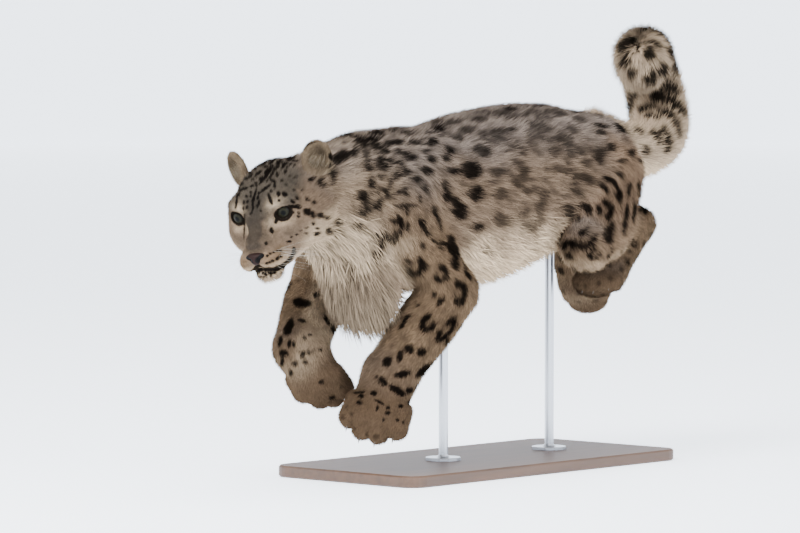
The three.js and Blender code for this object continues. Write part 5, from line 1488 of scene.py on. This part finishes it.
# The nose
def nose_piece():
    """The nose pad, with painted shade in the nostrils."""
    low, high = in_head(70, 0, -51) - 30, in_head(70, 0, -51) + 30
    vertices, quads = body_net(1.3, low, high, NOSE_FORMS)
    vertices = settled(vertices, 0.6, 2, NOSE_FORMS)
    piece = mesh_object("nose_pad", vertices, in_triangles(quads))
    slits = []
    for k in (1, -1):
        path = [in_head(76, 6.5 * k, -53), in_head(75, 11 * k, -50.5), in_head(67, 19 * k, -44)]
        slits.append(Groove(path, 5.4))
    holes = np.minimum(*(slit.field(vertices) for slit in slits))
    # The nostrils' near-black colour is painted shade.
    leather, nostril_shade = linear(0.12, 0.075, 0.065), linear(0.03, 0.025, 0.025)
    colour = mix(leather * np.ones((len(vertices), 1)), nostril_shade, band(-holes, -1.2, 1.2))
    colour_points(piece, colour)
    m, nodes, links, shader = material("nose_wet", roughness=0.5, Specular_IOR_Level=0.06)
    attribute = add_node(nodes, "Attribute")
    attribute.attribute_name = "Col"
    links.new(attribute.outputs["Color"], shader.inputs["Base Color"])
    finish_piece(piece, m, "nose_skin", "nose")


nose_piece()

# Whiskers, claws and ear hair
def tapered(points, radius, sides=4):
    """A thin closed taper along points: vertices and triangles."""
    points = np.asarray(points, float)
    rows = len(points) - 1
    axis = unit(np.diff(points, axis=0))
    hint = UP if abs(axis[0] @ UP) < 0.9 else X
    vertices = []
    for i in range(rows):
        front, aside = across(axis[i], hint)
        r = radius * (1 - i / rows) ** 0.8
        for k in range(sides):
            t = 2 * math.pi * k / sides
            vertices.append(points[i] + r * (front * math.cos(t) + aside * math.sin(t)))
    vertices.append(points[-1])
    faces = []
    for i in range(rows - 1):
        for k in range(sides):
            a, b = i * sides + k, i * sides + (k + 1) % sides
            faces += [(a, b, b + sides), (a, b + sides, a + sides)]
    last, tip = (rows - 1) * sides, rows * sides
    faces += [(last + k, last + (k + 1) % sides, tip) for k in range(sides)]
    faces += [(0, k + 1, k) for k in range(1, sides - 1)]
    return np.array(vertices), np.array(faces)


def joined(name, parts):
    """One piece of several loose parts."""
    vertices, faces, start = [], [], 0
    for v, f in parts:
        vertices.append(v)
        faces.append(f + start)
        start += len(v)
    return mesh_object(name, np.concatenate(vertices), np.concatenate(faces))


def whiskers():
    """Four rows of four on each side of the muzzle."""
    parts = []
    for side in (LEFT, RIGHT):
        for row in range(4):
            for k in range(4):
                root = on_head([(56 - 8 * k - 2 * row, 22 + 3 * k, -54 - 5.5 * row + 0.5 * k)], side)[0]
                out = -side * HEAD_LEFT * RNG.uniform(0.9, 1.2) - HEAD_FORE * (0.25 + 0.16 * k)
                out = unit(out + HEAD_UP * RNG.uniform(-0.8, 0.1))
                length = RNG.uniform(62, 105) * (1 - 0.06 * row)
                sag = RNG.uniform(0.10, 0.28) * length
                t = np.linspace(0, 1, 9)[:, None]
                fall = (UP * 0.7 + HEAD_FORE * 0.5) * sag * t**2
                path = root - 3 * out * (1 - t) + out * length * t - fall
                parts.append(tapered(path, 0.17))
    return joined("whiskers", parts)


finish_piece(whiskers(), material("whisker_hair", linear(0.60, 0.57, 0.52), 0.5)[0], "coat")


def claws():
    """Four claws on each paw."""
    parts = []
    for legs, first, tops, (half_width, _, toe) in (
        (FORE, "wrist", FORE_TOP, FORE_PAW),
        (HIND, "ball", HIND_TOP, HIND_PAW),
    ):
        for side, leg in legs.items():
            axis = unit(leg["toes"] - leg[first])
            ahead, aside = across(axis, tops[side])
            for place in TOE_PLACES:
                tip = leg["toes"] - axis * (toe + toe_setback(place))
                tip = tip + aside * place * half_width * TOE_SPREAD - ahead * 2
                t = np.linspace(0, 1, 7)[:, None]
                reach = toe * 0.6 + (toe * 0.4 + 5) * t
                parts.append(tapered(tip + axis * reach - ahead * 8 * t**2, 3.2, 8))
    return joined("claws", parts)


finish_piece(claws(), material("claw_horn", linear(0.30, 0.26, 0.22), 0.3)[0], "coat")


def ear_hair():
    """Long pale hair that crosses the cup of each ear."""
    parts = []
    for side in (LEFT, RIGHT):
        centre, (facing, width, rise) = ear_frame(side)
        rise = rise * np.sign(rise @ HEAD_UP)
        inner = width * np.sign(width @ HEAD_LEFT * side)
        for _ in range(120):
            edge = RNG.uniform(-0.7, 1)
            height = RNG.uniform(-26, -6) + 12 * max(edge, 0)
            start = centre + facing * 2 + inner * edge * 21 + rise * height
            lean = unit(rise * 0.9 + facing * 0.3 - inner * (0.25 + 0.5 * edge) + 0.2 * RNG.normal(size=3))
            length = RNG.uniform(10, 26)
            t = np.linspace(0, 1, 4)[:, None]
            parts.append(tapered(start + lean * length * t + facing * 2 * t**2, RNG.uniform(0.25, 0.45), 3))
    return joined("ear_hair", parts)


finish_piece(ear_hair(), material("ear_hair", linear(0.44, 0.385, 0.305), 0.6)[0], "coat")

# The stand
def wood_material():
    """Brown wood with its grain along the base."""
    m, nodes, links, shader = material("base_wood", linear(0.24, 0.17, 0.12), 0.5)
    where = add_node(nodes, "TexCoord")
    stretch = add_node(nodes, "Mapping", Scale=(3.0, 40.0, 40.0))
    grain = add_node(nodes, "TexNoise", Scale=2.0, Detail=6.0)
    tones = add_node(nodes, "ValToRGB")
    tones.color_ramp.elements[0].color = (*linear(0.20, 0.13, 0.09), 1)
    tones.color_ramp.elements[1].color = (*linear(0.36, 0.25, 0.17), 1)
    links.new(where.outputs["Object"], stretch.inputs["Vector"])
    links.new(stretch.outputs["Vector"], grain.inputs["Vector"])
    links.new(grain.outputs["Fac"], tones.inputs["Fac"])
    links.new(tones.outputs["Color"], shader.inputs["Base Color"])
    return m


WOOD = wood_material()
STEEL = material("rod_steel", linear(0.72, 0.73, 0.75), 0.28, Metallic=1.0)[0]
for node, look in (("stand_base", WOOD), ("stand_rod_front", STEEL), ("stand_rod_rear", STEEL)):
    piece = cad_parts[node]
    piece.data.materials.clear()
    piece.data.materials.append(look)

# Floor, backdrop and light
STAGE_RADIUS = 26.0
SKY_COLOUR, SKY_STRENGTH = (0.84, 0.915, 1.0, 1), 1.65
ROOM_COLOUR, ROOM_STRENGTH = (0.92, 0.95, 1.0, 1), 1.7


def stage():
    """A round pale floor that curves up into a low wall well beyond every view."""
    radius, fillet, top, sides = STAGE_RADIUS, 2.5, 6.0, 96
    profile = [(0.4, 0.0), (radius - fillet, 0.0)]
    for t in np.linspace(0.13, math.pi / 2, 12):
        profile.append((radius - fillet + fillet * math.sin(t), fillet * (1 - math.cos(t))))
    profile.append((radius, top))
    around = np.arange(sides) * 2 * math.pi / sides
    vertices = [(0, 0, 0)] + [(r * math.cos(t), r * math.sin(t), z) for r, z in profile for t in around]
    faces = []
    for k in range(sides):
        a, b = 1 + k, 1 + (k + 1) % sides
        faces.append((0, a, b))
        for row in range(len(profile) - 1):
            c, d = a + row * sides, b + row * sides
            faces += [(c, c + sides, d + sides), (c, d + sides, d)]
    piece = mesh_object("backdrop", np.array(vertices) * 1000, faces)
    paper, _, _, shader = material("backdrop", linear(0.95, 0.965, 0.985), 0.8)
    shader.inputs["Emission Color"].default_value = SKY_COLOUR
    shader.inputs["Emission Strength"].default_value = SKY_STRENGTH
    piece.data.materials.append(paper)


# The place that the lamps point at.
LIT = (0, 0, 0.45)


def area_light(name, place, size, power, colour=(1, 1, 1)):
    data = bpy.data.lights.new(name, "AREA")
    data.shape = "DISK"
    data.size = size
    data.energy = power
    data.color = colour
    lamp = bpy.data.objects.new(name, data)
    bpy.context.scene.collection.objects.link(lamp)
    lamp.location = place
    lamp.rotation_euler = (Vector(LIT) - Vector(place)).to_track_quat("-Z", "Y").to_euler()


stage()
right = np.array([TOWARD.y, -TOWARD.x, 0])
back = -np.array([TOWARD.x, TOWARD.y, 0])
# On the camera's side of the cat, the key light to its left and the fill light to its right.
area_light("key", tuple(back * 3.0 - right * 2.2 + np.array([0, 0, 3.6])), 2.6, 400, (0.97, 0.985, 1.0))
area_light("fill", tuple(back * 3.4 + right * 3.2 + np.array([0, 0, 2.0])), 3.4, 150, (0.93, 0.96, 1.0))
area_light("top", (0.0, 0.0, 4.4), 3.4, 110)
world = bpy.data.worlds.new("studio")
world.use_nodes = True
room = world.node_tree.nodes["Background"]
room.inputs["Color"].default_value = ROOM_COLOUR
room.inputs["Strength"].default_value = ROOM_STRENGTH
bpy.context.scene.world = world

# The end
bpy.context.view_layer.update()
